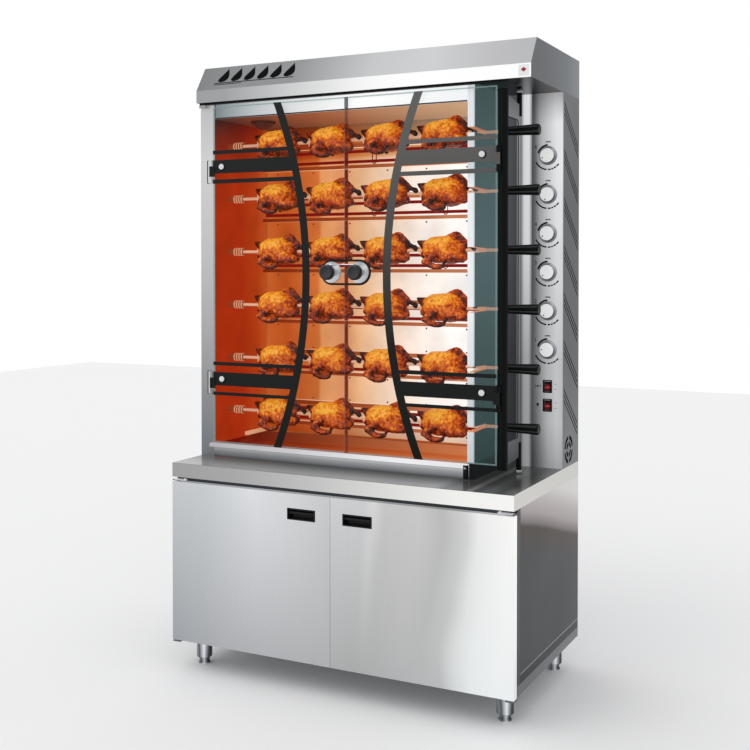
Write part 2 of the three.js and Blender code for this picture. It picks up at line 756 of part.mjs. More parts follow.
/** The dark metalwork on a pane: an arc from top to bottom, straps to the hinges, and door knuckles. */
function doorStraps({ side, hingeEdge, hinge }) {
  const middle = DOOR_MEETING + side * (ARC.inset + 11);
  const centre = middle + side * ARC.radius;
  const facing = side > 0 ? Math.PI : 0;
  const halfAngle = 0.4;
  const band = new THREE.Shape();
  band.absarc(centre, ARC.z, ARC.radius + ARC.halfWidth, facing - halfAngle, facing + halfAngle, false);
  band.absarc(centre, ARC.z, ARC.radius - ARC.halfWidth, facing + halfAngle, facing - halfAngle, true);
  const limits = block([LEFT, RIGHT], [STRAP_Y[0] - 1, STRAP_Y[1] + 1], [GLASS.z[0] + GAP, GLASS.z[1] - GAP]);
  const arc = solidOf(alongY(band, STRAP_Y, 18)).intersect(solidOf(limits));
  const arcX = (z) => centre - side * Math.sqrt(ARC.radius ** 2 - (z - ARC.z) ** 2);
  const straps = STRAPS.map((z) => block(inOrder(hingeEdge, arcX((z[0] + z[1]) / 2)), STRAP_Y, z));
  const knuckles = HINGES.flatMap((heights) => {
    const z = knuckleHeights(heights).door;
    const arm = inOrder(hinge[0], hingeEdge - side * 8);
    return [bar('z', KNUCKLE, z, [...hinge, 0], 8), block(arm, [hinge[1] - 2, STRAP_Y[1]], z)];
  });
  return join(arc, ...straps, ...knuckles);
}

/** A pull knob on a round plate, fixed to the glass. */
function pullKnob({ side }) {
  const profile = [
    [0, GAP],
    [35, GAP],
    [35, 7],
    [13, 10],
    [13, 20],
    [25, 26],
    [25, 44],
    [18, 50],
    [0, 50],
  ];
  return turned('-y', profile, [DOOR_MEETING + side * PULL_KNOB.offset, GLASS_FRONT, PULL_KNOB.z], 14);
}

// ---------------------------------------------------------------- side frame

const FRAME_TUBE = { y: FRONT + 178, radius: 16, z: [726, 1880] };
const FRAME_PIVOT = { y: FRONT + 325, radius: 8 };
const WINDOW = { y: [FRONT + 198, FRONT + 308], z: [807, 1801], corner: 15 };

function roundedRectangle([u0, u1], [v0, v1], r) {
  const path = new THREE.Path();
  path.absarc(u1 - r, v0 + r, r, -Math.PI / 2, 0, false);
  path.absarc(u1 - r, v1 - r, r, 0, Math.PI / 2, false);
  path.absarc(u0 + r, v1 - r, r, Math.PI / 2, Math.PI, false);
  path.absarc(u0 + r, v0 + r, r, Math.PI, 1.5 * Math.PI, false);
  path.closePath();
  return path;
}

/** The swinging frame round the spit handles, which carries the right glass door. */
function sideFrame() {
  const front = FRAME_TUBE.y + 5;
  const rear = FRAME_PIVOT.y + 4;
  const plate = polygon([
    [front, 732],
    [rear, 745],
    [rear, 1849],
    [front, 1873],
  ]);
  plate.holes.push(roundedRectangle(WINDOW.y, WINDOW.z, WINDOW.corner));
  const pivot = [FRAME_X, FRAME_PIVOT.y, 0];
  return join(
    alongX(plate, [FRAME_X - SHEET, FRAME_X + SHEET], 4),
    bar('z', FRAME_TUBE.radius, FRAME_TUBE.z, [FRAME_X, FRAME_TUBE.y, 0], 12),
    bar('z', FRAME_PIVOT.radius, [WORKTOP + 0.5, 790], pivot, 8),
    bar('z', FRAME_PIVOT.radius, [1815, HOOD_BOTTOM - 0.5], pivot, 8),
    ...fixedKnuckles(RIGHT_HINGE, FRAME_TUBE.y - RIGHT_HINGE[1] - 12),
  );
}

// ---------------------------------------------------------------- assembly

add('cabinet_base', cabinetBase(), darkSteel);
add('cabinet_frame', cabinetFrame(), darkSteel);
add('cabinet_shell', cabinetShell(), darkSteel);
add('worktop', worktop(), brushedSteel);
for (const [sideName, side] of [
  ['left', -1],
  ['right', 1],
]) {
  for (const [rowName, y] of Object.entries(LEG_ROWS)) {
    add(`foot_${rowName}_${sideName}`, foot(side * LEG_X, y), castSteel);
  }
}
for (const [sideName, door] of Object.entries(DOORS)) {
  add(`cabinet_door_${sideName}`, cabinetDoor(door), brushedSteel);
  add(`recessed_pull_${sideName}`, recessedPull(door), blackPlastic);
}

add('left_casing', leftCasing(), brushedSteel);
add('left_wall', leftWall(), enamelledWall);
add('right_wall', rightWall(), brushedSteel);
add('heat_wall', heatWall(), enamelledWall);
add('ceiling', ceiling(), brushedSteel);
add('rear_cover', rearCover(), darkSteel);
add('tower_casing', towerCasing(), brushedSteel);
add('tower_strip', towerStrip(), brushedSteel);
add('hood', hood(), brushedSteel);
add('oven_lamp', ovenLamp(), lampGlass);
add('burner_bank', burnerBank(), hotSteel);

rows((_, row) => add(`control_knob_${row + 1}`, controlKnob(knobHeight(row)), knobPlastic));
ROCKER_ROWS.forEach((z, row) => add(`rocker_switch_${row + 1}`, rocker(z), redPlastic));

add('gear_motor', gearMotor(), castSteel);
add('motor_sprocket', motorSprocket(), castSteel);
add('drive_chain', driveChain(), castSteel);
rows((z, row) => {
  add(`spit_driver_${row + 1}`, spitDriver(z), chrome);
  add(`spit_${row + 1}`, spit(z), chrome);
  add(`spit_handle_${row + 1}`, spitHandle(z), blackPlastic);
});

add('drip_drawer', dripDrawer(), brushedSteel);
for (const [sideName, door] of Object.entries(GLASS_DOORS)) {
  add(`glass_pane_${sideName}`, glassPane(door), doorGlass);
  add(`door_straps_${sideName}`, doorStraps(door), blackPaint);
  add(`pull_knob_${sideName}`, pullKnob(door), castSteel);
}
add('side_frame', sideFrame(), blackPaint);

export default oven;
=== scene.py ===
"""The looks of a floor-standing gas rotisserie oven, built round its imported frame.

Everything is in metres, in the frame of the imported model: +Z up, the front faces -Y.
"""

from __future__ import annotations

import json
import logging
import math
import random
from collections.abc import Sequence
from dataclasses import dataclass, field
from enum import Enum

import bmesh
import bpy
from mathutils import Matrix, Vector, noise

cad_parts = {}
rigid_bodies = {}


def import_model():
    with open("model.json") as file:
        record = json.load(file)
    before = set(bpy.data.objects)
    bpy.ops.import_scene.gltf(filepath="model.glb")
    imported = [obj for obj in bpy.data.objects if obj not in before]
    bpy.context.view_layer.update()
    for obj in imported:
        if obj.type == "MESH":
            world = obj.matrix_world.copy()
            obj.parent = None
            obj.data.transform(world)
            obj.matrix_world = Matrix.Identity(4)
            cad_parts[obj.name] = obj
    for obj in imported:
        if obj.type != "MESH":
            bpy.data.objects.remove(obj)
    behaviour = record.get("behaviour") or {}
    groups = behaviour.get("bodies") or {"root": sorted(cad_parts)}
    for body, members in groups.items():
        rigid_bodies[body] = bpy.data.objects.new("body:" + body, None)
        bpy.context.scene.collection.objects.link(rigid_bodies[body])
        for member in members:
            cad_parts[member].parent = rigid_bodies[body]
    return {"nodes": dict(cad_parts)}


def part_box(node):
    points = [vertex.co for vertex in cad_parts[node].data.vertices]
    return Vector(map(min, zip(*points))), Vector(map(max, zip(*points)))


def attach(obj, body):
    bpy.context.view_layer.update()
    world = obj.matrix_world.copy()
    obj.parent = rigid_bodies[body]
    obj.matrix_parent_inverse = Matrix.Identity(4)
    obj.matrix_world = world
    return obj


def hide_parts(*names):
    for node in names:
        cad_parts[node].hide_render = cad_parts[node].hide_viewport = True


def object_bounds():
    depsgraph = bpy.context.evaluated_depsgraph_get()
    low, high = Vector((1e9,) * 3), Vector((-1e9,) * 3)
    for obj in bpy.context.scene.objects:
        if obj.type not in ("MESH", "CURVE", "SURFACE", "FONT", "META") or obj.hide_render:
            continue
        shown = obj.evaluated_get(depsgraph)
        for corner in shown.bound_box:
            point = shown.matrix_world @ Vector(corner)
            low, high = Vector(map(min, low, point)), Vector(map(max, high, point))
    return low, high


LOG = logging.getLogger("rotisserie")
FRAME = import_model()
CAD_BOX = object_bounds()

MM = 0.001
FIXED_BODY = "frame"
ROWS = range(1, 7)
SIDES = {"left": -1, "right": 1}

# Lowest and highest point of the door hinges' leaves, upper pair first.
HINGE_ROWS = ((1.629, 1.708), (0.905, 0.985))
# Half the thickness of the layer that takes a face's own tones.
FACE_DEPTH = 0.0004
# How far printed marks reach out of the panel.
PRINT_DEPTH = 0.0004
# Brushing lines to the metre, across the lines and along them.
BRUSH_FINE = 900.0
BRUSH_ALONG = 5.0
# Relief of the finishes' surfaces.
BRUSH_RELIEF = 0.00004
ENAMEL_RELIEF = 0.0006
SKIN_RELIEF = 0.0026
# Edges steeper than these are shaded sharp, and can be bevelled.
SHARP_ANGLE = math.radians(38)
BEVEL_ANGLE = math.radians(50)

Colour = tuple[float, float, float, float]
Span = tuple[float, float]
Point = tuple[float, float]
Stops = tuple[tuple[float, str], ...]
Material = bpy.types.Material
Mesh = bpy.types.Mesh
Node = bpy.types.Node
Socket = bpy.types.NodeSocket


class Axis(Enum):
    """An axis of the frame."""

    X = 0
    Y = 1
    Z = 2


def tint(code: str) -> Colour:
    """Turns a colour code into linear light.

    Args:
        code: Six hexadecimal digits, red, green and blue.

    Returns:
        Red, green, blue and an alpha of one.
    """
    channels = [int(code[place : place + 2], 16) / 255 for place in (0, 2, 4)]
    linear = [c / 12.92 if c <= 0.04045 else ((c + 0.055) / 1.055) ** 2.4 for c in channels]
    return (*linear, 1.0)


# ---------------------------------------------------------------- nodes


class NodeMaker:
    """Adds nodes to one tree, and joins them."""

    def __init__(self, tree: bpy.types.NodeTree) -> None:
        """Keeps the tree that nodes go into."""
        self.tree = tree

    def add(self, kind: str, inputs: dict | None = None, **settings: object) -> Node:
        """Adds a node.

        Args:
            kind: The node's type name.
            inputs: A plain value or another node's output for each named or numbered input.
            settings: Values for the node's own properties.

        Returns:
            The new node.
        """
        node = self.tree.nodes.new(kind)
        for name, value in settings.items():
            setattr(node, name, value)
        for key, value in (inputs or {}).items():
            if isinstance(value, Socket):
                self.tree.links.new(value, node.inputs[key])
            else:
                node.inputs[key].default_value = value
        return node

    def maths(self, operation: str, *operands: object, clamp: bool = False) -> Socket:
        """The result of one arithmetic step on numbers or sockets."""
        numbered = dict(enumerate(operands))
        return self.add("ShaderNodeMath", numbered, operation=operation, use_clamp=clamp).outputs[0]

    def mix(self, share: object, first: object, second: object, blend: str = "MIX") -> Socket:
        """A blend of two colours.

        Args:
            share: How much of the second colour, from 0 to 1.
            first: The colour at 0.
            second: The colour at 1.
            blend: The way of blending.

        Returns:
            The blended colour.
        """
        inputs = {0: share, 6: first, 7: second}
        return self.add("ShaderNodeMix", inputs, data_type="RGBA", blend_type=blend).outputs[2]

    def ramp(self, share: object, stops: Stops) -> Socket:
        """A colour that changes along a number.

        Args:
            share: The number, from 0 to 1.
            stops: A place and a colour code for each stop.

        Returns:
            The colour.
        """
        node = self.add("ShaderNodeValToRGB", {0: share})
        elements = node.color_ramp.elements
        while len(elements) < len(stops):
            elements.new(1.0)
        for element, (place, code) in zip(elements, stops, strict=True):
            element.position = place
            element.color = tint(code)
        return node.outputs[0]

    def clouds(self, place: object, scale: float, detail: float = 3.0) -> Socket:
        """Soft noise about 0.5 at a place."""
        inputs = {"Vector": place, "Scale": scale, "Detail": detail}
        return self.add("ShaderNodeTexNoise", inputs).outputs[0]

    def position(self) -> Socket:
        """The place on the piece, in its own coordinates."""
        return self.add("ShaderNodeTexCoord").outputs["Object"]

    def along(self, place: object, axis: Axis) -> Socket:
        """One coordinate of a place."""
        return self.add("ShaderNodeSeparateXYZ", {0: place}).outputs[axis.value]

    def between(self, number: object, span: Span) -> Socket:
        """One where a number lies inside a span, and zero elsewhere."""
        above = self.maths("GREATER_THAN", number, span[0])
        below = self.maths("LESS_THAN", number, span[1])
        return self.maths("MULTIPLY", above, below)


def new_group(name: str, inputs: dict[str, str], outputs: dict[str, str]) -> tuple:
    """Starts a shader node group.

    Args:
        name: The group's name.
        inputs: A socket type for each named input.
        outputs: A socket type for each named output.

    Returns:
        The tree, a node maker for it, its input node and its output node.
    """
    tree = bpy.data.node_groups.new(name, "ShaderNodeTree")
    for way, sockets in (("INPUT", inputs), ("OUTPUT", outputs)):
        for label, kind in sockets.items():
            tree.interface.new_socket(name=label, in_out=way, socket_type=kind)
    maker = NodeMaker(tree)
    return tree, maker, maker.add("NodeGroupInput"), maker.add("NodeGroupOutput")


def grain_group() -> bpy.types.NodeTree:
    """Fine brushing lines with faint smudges, for sheet metal.

    Returns:
        A group that turns a place and a stretch into a shade, a roughness mask and a height.
    """
    inputs = {"Place": "NodeSocketVector", "Stretch": "NodeSocketVector", "Depth": "NodeSocketFloat"}
    outputs = {"Shade": "NodeSocketColor", "Smudge": "NodeSocketFloat", "Height": "NodeSocketFloat"}
    tree, maker, entry, exit_node = new_group("brushed_grain", inputs, outputs)
    stretched = maker.add(
        "ShaderNodeVectorMath",
        {0: entry.outputs["Place"], 1: entry.outputs["Stretch"]},
        operation="MULTIPLY",
    ).outputs[0]
    lines = maker.clouds(stretched, 1.0, 4.0)
    smudge = maker.clouds(entry.outputs["Place"], 3.5)
    centred = maker.maths("SUBTRACT", lines, 0.5)
    swing = maker.maths("MULTIPLY", centred, entry.outputs["Depth"])
    level = maker.maths("ADD", swing, 1.0)
    shade = maker.add("ShaderNodeCombineColor", {0: level, 1: level, 2: level}).outputs[0]
    maker.tree.links.new(shade, exit_node.inputs["Shade"])
    maker.tree.links.new(smudge, exit_node.inputs["Smudge"])
    maker.tree.links.new(lines, exit_node.inputs["Height"])
    return tree


def skin_group() -> bpy.types.NodeTree:
    """A fine uneven surface for paint, plastic and cast parts.

    Returns:
        A group that turns a place and a scale into a mask and a height.
    """
    inputs = {"Place": "NodeSocketVector", "Scale": "NodeSocketFloat"}
    outputs = {"Mask": "NodeSocketFloat", "Height": "NodeSocketFloat"}
    tree, maker, entry, exit_node = new_group("fine_skin", inputs, outputs)
    inputs = {"Vector": entry.outputs["Place"], "Scale": entry.outputs["Scale"], "Detail": 4.0}
    fine = maker.add("ShaderNodeTexNoise", inputs).outputs[0]
    broad = maker.clouds(entry.outputs["Place"], 9.0)
    maker.tree.links.new(broad, exit_node.inputs["Mask"])
    maker.tree.links.new(fine, exit_node.inputs["Height"])
    return tree


GRAIN = grain_group()
SKIN = skin_group()


# ---------------------------------------------------------------- finishes


@dataclass(frozen=True)
class Tone:
    """Colours along one axis, such as the sweep of light on a sheet."""

    axis: Axis
    span: Span
    stops: Stops
    waver: float = 0.0
    tilt: tuple[float, float, float] = (0.0, 0.0, 0.0)

    def socket(self, maker: NodeMaker, place: object) -> Socket:
        """The colour at a place.

        Args:
            maker: The tree's node maker.
            place: The place on the piece.

        Returns:
            The colour.
        """
        number = maker.along(place, self.axis)
        if any(self.tilt):
            lean = maker.add("ShaderNodeVectorMath", {0: place, 1: self.tilt}, operation="DOT_PRODUCT")
            number = maker.maths("ADD", number, lean.outputs["Value"])
        if self.waver:
            drift = maker.maths("SUBTRACT", maker.clouds(place, 2.6, 0.0), 0.5)
            number = maker.maths("ADD", number, maker.maths("MULTIPLY", drift, self.waver))
        limits = {"Value": number, "From Min": self.span[0], "From Max": self.span[1]}
        return maker.ramp(maker.add("ShaderNodeMapRange", limits).outputs[0], self.stops)


def plain_tone(code: str, other: str | None = None) -> Tone:
    """One colour, or a pair that changes from the floor to the top of the oven."""
    return Tone(Axis.Z, (0.0, 2.0), ((0.0, code), (1.0, other or code)))


def at_face(axis: Axis, level: float) -> tuple[Axis, Span]:
    """The bounds of a thin layer at one face of a piece."""
    return axis, (level - FACE_DEPTH, level + FACE_DEPTH)


@dataclass(frozen=True)
class Zone:
    """A part of a piece, bounded along one axis or more, with colours of its own."""

    bounds: tuple[tuple[Axis, Span], ...]
    tone: Tone
    shade: Tone | None = None


@dataclass(frozen=True)
class Palette:
    """All the colours of a piece: a base, a shade over it, another base higher up, and zones."""

    tone: Tone
    shade: Tone | None = None
    upper: Tone | None = None
    rise: Span = (0.0, 1.0)
    zones: tuple[Zone, ...] = ()

    def socket(self, maker: NodeMaker, place: object) -> Socket:
        """The colour at a place.

        Args:
            maker: The tree's node maker.
            place: The place on the piece.

        Returns:
            The colour.
        """
        colour = self.tone.socket(maker, place)
        if self.upper:
            limits = {
                "Value": maker.along(place, Axis.Z), "From Min": self.rise[0], "From Max": self.rise[1]
            }
            share = maker.add("ShaderNodeMapRange", limits).outputs[0]
            colour = maker.mix(share, colour, self.upper.socket(maker, place))
        if self.shade:
            colour = maker.mix(1.0, colour, self.shade.socket(maker, place), "MULTIPLY")
        for zone in self.zones:
            share = 1.0
            for axis, span in zone.bounds:
                inside = maker.between(maker.along(place, axis), span)
                share = maker.maths("MULTIPLY", inside, share)
            own = zone.tone.socket(maker, place)
            if zone.shade:
                own = maker.mix(1.0, own, zone.shade.socket(maker, place), "MULTIPLY")
            colour = maker.mix(share, colour, own)
        return colour


def new_material(name: str, **plain: object) -> tuple[Material, NodeMaker, Node]:
    """Starts a material.

    Args:
        name: The material's name.
        plain: Values for the shader's own sockets, with underscores for spaces.

    Returns:
        The material, its node maker and its shader node.
    """
    material = bpy.data.materials.new(name)
    material.use_nodes = True
    shader = material.node_tree.nodes["Principled BSDF"]
    for label, value in plain.items():
        shader.inputs[label.replace("_", " ")].default_value = value
    return material, NodeMaker(material.node_tree), shader


def bump(maker: NodeMaker, shader: Node, height: object, depth: float) -> None:
    """Feeds a height to a shader's normal.

    Args:
        maker: The tree's node maker.
        shader: The shader node.
        height: The height, from 0 to 1.
        depth: How deep the relief is, in metres.
    """
    relief = maker.add("ShaderNodeBump", {"Height": height, "Strength": 0.6, "Distance": depth})
    maker.tree.links.new(relief.outputs[0], shader.inputs["Normal"])


def light_up(maker: NodeMaker, shader: Node, colour: object, glow: float) -> None:
    """Splits a colour between the light a piece throws back and a painted glow of its own, which stands in
    for light falling on it.

    Args:
        maker: The tree's node maker.
        shader: The shader node.
        colour: The colour.
        glow: The share of painted glow.
    """
    dim = maker.mix(glow, colour, tint("000000"))
    maker.tree.links.new(dim, shader.inputs["Base Color"])
    maker.tree.links.new(colour, shader.inputs["Emission Color"])
    shader.inputs["Emission Strength"].default_value = glow


@dataclass(frozen=True)
class BrushedSteel:
    """Stainless sheet with brushing along one axis, tones that are mostly a painted sweep of light and
    shade, and a painted glow.
    """

    name: str
    palette: Palette
    brushing: Axis = Axis.Z
    roughness: float = 0.32
    metallic: float = 1.0
    depth: float = 0.16
    glow: float = 0.45
    specular: float = 0.5

    def build(self) -> Material:
        """Makes the material."""
        plain = {"Metallic": self.metallic, "Specular_IOR_Level": self.specular}
        material, maker, shader = new_material(self.name, **plain)
        place = maker.position()
        stretch = [BRUSH_FINE] * 3
        stretch[self.brushing.value] = BRUSH_ALONG
        grain = maker.add("ShaderNodeGroup", node_tree=GRAIN)
        maker.tree.links.new(place, grain.inputs["Place"])
        grain.inputs["Stretch"].default_value = stretch
        grain.inputs["Depth"].default_value = self.depth
        colour = self.palette.socket(maker, place)
        colour = maker.mix(1.0, colour, grain.outputs["Shade"], "MULTIPLY")
        light_up(maker, shader, colour, self.glow)
        rough = maker.maths("MULTIPLY", grain.outputs["Smudge"], 0.12)
        rough = maker.maths("ADD", rough, self.roughness - 0.06)
        maker.tree.links.new(rough, shader.inputs["Roughness"])
        bump(maker, shader, grain.outputs["Height"], BRUSH_RELIEF)
        return material


@dataclass(frozen=True)
class HeatedSheet:
    """Enamelled sheet with the burners' light painted in as colour and glow, and painted reflection
    blotches.
    """

    name: str
    palette: Palette
    glow: float = 0.66
    roughness: float = 0.5
    blotches: float = 0.24

    def build(self) -> Material:
        """Makes the material."""
        material, maker, shader = new_material(self.name, Metallic=0.0, Specular_IOR_Level=0.02)
        place = maker.position()
        colour = self.palette.socket(maker, place)
        # Painted reflections: soft blotches that darken and lighten the colour; they also vary roughness
        # and relief.
        reflection_blotches = maker.clouds(place, 9.0, 5.0)
        half = self.blotches / 2
        limits = {
            "Value": reflection_blotches, "From Min": 0.3, "From Max": 0.7, "To Min": 1 - half, "To Max": 1 + half
        }
        level = maker.add("ShaderNodeMapRange", limits).outputs[0]
        shade = maker.add("ShaderNodeCombineColor", {0: level, 1: level, 2: level}).outputs[0]
        colour = maker.mix(1.0, colour, shade, "MULTIPLY")
        light_up(maker, shader, colour, self.glow)
        rough = maker.maths("MULTIPLY", reflection_blotches, 0.2)
        maker.tree.links.new(maker.maths("ADD", rough, self.roughness - 0.1), shader.inputs["Roughness"])
        bump(maker, shader, reflection_blotches, ENAMEL_RELIEF)
        return material


@dataclass(frozen=True)
class Bands:
    """Painted reflections: light and dark bands round a turned part, set by where its skin faces."""

    toward: tuple[float, float, float]
    stops: Stops

    def socket(self, maker: NodeMaker) -> Socket:
        """The shade at a place.

        Args:
            maker: The tree's node maker.

        Returns:
            The shade, from the facing that every shape keeps.
        """
        facing = maker.add("ShaderNodeAttribute", attribute_name="facing").outputs["Vector"]
        inputs = {0: facing, 1: self.toward}
        dot = maker.add("ShaderNodeVectorMath", inputs, operation="DOT_PRODUCT").outputs["Value"]
        share = maker.maths("ADD", maker.maths("MULTIPLY", dot, 0.5), 0.5)
        return maker.ramp(share, self.stops)


@dataclass(frozen=True)
class SmoothFinish:
    """Paint, plastic, chrome or cast metal: tones, some of them painted light and shade, fine uneven skin,
    faint wear, and optional painted reflection bands and painted glow.
    """

    name: str
    palette: Palette
    roughness: float = 0.35
    metallic: float = 0.0
    glow: float = 0.0
    specular: float = 0.3
    skin: float = 420.0
    relief: float = 0.00005
    bands: Bands | None = None

    def build(self) -> Material:
        """Makes the material."""
        plain = {"Metallic": self.metallic, "Specular_IOR_Level": self.specular}
        material, maker, shader = new_material(self.name, **plain)
        place = maker.position()
        skin = maker.add("ShaderNodeGroup", node_tree=SKIN)
        maker.tree.links.new(place, skin.inputs["Place"])
        skin.inputs["Scale"].default_value = self.skin
        colour = self.palette.socket(maker, place)
        if self.bands:
            colour = maker.mix(1.0, colour, self.bands.socket(maker), "MULTIPLY")
        worn = maker.mix(0.2, colour, tint("9a9a9a"), "OVERLAY")
        colour = maker.mix(skin.outputs["Mask"], colour, worn)
        light_up(maker, shader, colour, self.glow)
        rough = maker.maths("MULTIPLY", skin.outputs["Mask"], 0.16)
        rough = maker.maths("ADD", rough, self.roughness - 0.08)
        maker.tree.links.new(rough, shader.inputs["Roughness"])
        bump(maker, shader, skin.outputs["Height"], self.relief)
        return material


def one_colour(code: str, other: str | None = None) -> Palette:
    """The palette of one colour, or of a pair from the floor to the top of the oven."""
    return Palette(plain_tone(code, other))


def smooth(name: str, code: str, roughness: float, metallic: float = 0.0, **looks: object) -> Material:
    """Makes a smooth finish of one colour."""
    return SmoothFinish(name, one_colour(code), roughness, metallic, **looks).build()


@dataclass(frozen=True)
class DoorGlass:
    """Thin clear glass: nearly unseen over the cavity, its green-blue tint past it darkened as painted
    shade, with tinted edges, a painted dark band where the panes meet, and a painted glow.
    """

    name: str
    pane: tuple[Vector, Vector]
    meeting_x: float
    meeting_rim: float
    overhang: Span
    header_z: float
    rim: float = 0.0042

    def build(self) -> Material:
        """Makes the material."""
        plain = {"Metallic": 0.0, "Roughness": 0.05, "Specular_IOR_Level": 0.2}
        material, maker, shader = new_material(self.name, **plain)
        place = maker.position()
        across = maker.along(place, Axis.X)
        up = maker.along(place, Axis.Z)
        low, high = self.pane
        inner_x = maker.between(across, (low.x + self.rim, high.x - self.rim))
        inner_z = maker.between(up, (low.z + self.rim, high.z - self.rim))
        edge = maker.maths("SUBTRACT", 1.0, maker.maths("MULTIPLY", inner_x, inner_z))
        reach = (self.meeting_x - self.meeting_rim, self.meeting_x + self.meeting_rim)
        meeting = maker.between(across, reach)
        header = maker.maths("GREATER_THAN", up, self.header_z)
        past = maker.between(across, self.overhang)
        limits = {"Value": up, "From Min": low.z, "From Max": high.z}
        share = maker.add("ShaderNodeMapRange", limits).outputs[0]
        # The glass's green-blue tint past the cavity, darkened as painted shade, most at the bottom and the
        # top.
        body = maker.ramp(share, ((0.0, "3d5253"), (0.5, "5d7374"), (1.0, "4c6161")))
        colour = maker.mix(past, tint("cfe0e0"), body)
        colour = maker.mix(edge, colour, tint("7f9c9b"))
        # The band where the panes meet is painted with what shows through the glass edges: the burners'
        # dark red below the header, dark green-blue above.
        dark = maker.mix(header, tint("4a1206"), tint("33474a"))
        colour = maker.mix(meeting, colour, dark)
        light_up(maker, shader, colour, 0.5)
        streak = maker.maths("MULTIPLY", maker.clouds(place, 2.0, 1.0), 0.003)
        cover = maker.maths("ADD", maker.maths("MULTIPLY", past, 0.2), streak)
        cover = maker.maths("MAXIMUM", cover, maker.maths("MULTIPLY", edge, 0.42))
        strong = maker.maths("ADD", maker.maths("MULTIPLY", header, 0.5), 0.3)
        still = maker.maths("SUBTRACT", 1.0, meeting)
        cover = maker.maths("MULTIPLY", cover, still)
        cover = maker.maths("ADD", cover, maker.maths("MULTIPLY", meeting, strong))
        maker.tree.links.new(cover, shader.inputs["Alpha"])
        return material


@dataclass(frozen=True)
class RoastedSkin:
    """Crisp poultry skin, glossy: golden to brown by how roasted it is, brown on the tips, with painted
    shade underneath and in folds, painted light on faces turned up and to the front, and a painted glow.
    """

    name: str

    def build(self) -> Material:
        """Makes the material."""
        plain = {"Coat_Weight": 0.1, "Coat_Roughness": 0.2, "Specular_IOR_Level": 0.25}
        material, maker, shader = new_material(self.name, **plain)
        place = maker.position()
        # The roast value holds the browning with painted shade and painted light mixed in.
        roast = maker.add("ShaderNodeAttribute", attribute_name="roast").outputs["Fac"]
        broad = maker.clouds(place, 42.0, 4.0)
        mottle = maker.clouds(place, 110.0, 5.0)
        fine = maker.clouds(place, 300.0, 3.0)
        swing = maker.maths("MULTIPLY", maker.maths("SUBTRACT", broad, 0.5), 0.8)
        fleck = maker.maths("MULTIPLY", maker.maths("SUBTRACT", mottle, 0.5), 1.15)
        share = maker.maths("ADD", maker.maths("ADD", roast, swing), fleck, clamp=True)
        stops = (
            (0.0, "ffb83c"), (0.16, "f4921c"), (0.32, "de6c0c"), (0.48, "bb4606"), (0.64, "8a2a05"),
            (0.8, "4e1406"), (1.0, "1c0a06"),
        )
        colour = maker.ramp(share, stops)
        limits = {"Value": fine, "From Min": 0.56, "From Max": 0.68}
        specks = maker.add("ShaderNodeMapRange", limits).outputs[0]
        colour = maker.mix(maker.maths("MULTIPLY", specks, 0.5), colour, tint("5c1c08"))
        light_up(maker, shader, colour, 0.55)
        rough = maker.maths("ADD", maker.maths("MULTIPLY", fine, 0.4), 0.2)
        maker.tree.links.new(rough, shader.inputs["Roughness"])
        bump(maker, shader, maker.maths("ADD", fine, mottle), SKIN_RELIEF)
        return material


# ---------------------------------------------------------------- mesh making


def dress(node: str, finish: Material) -> None:
    """Gives a carried-over node its finish.

    Args:
        node: The node's name.
        finish: The material.
    """
    materials = FRAME["nodes"][node].data.materials
    materials.clear()
    materials.append(finish)


def settle(name: str, mesh: Mesh, body: str, replaces: Sequence[str] = ()) -> bpy.types.Object:
    """Makes a mesh a piece of the oven.

    Args:
        name: The piece's name.
        mesh: Its mesh, in the frame.
        body: The body it rides on.
        replaces: Nodes that it stands for.

    Returns:
        The piece.
    """
    piece = bpy.data.objects.new(name, mesh)
    bpy.context.scene.collection.objects.link(piece)
    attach(piece, body)
    if replaces:
        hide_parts(*replaces)
    return piece


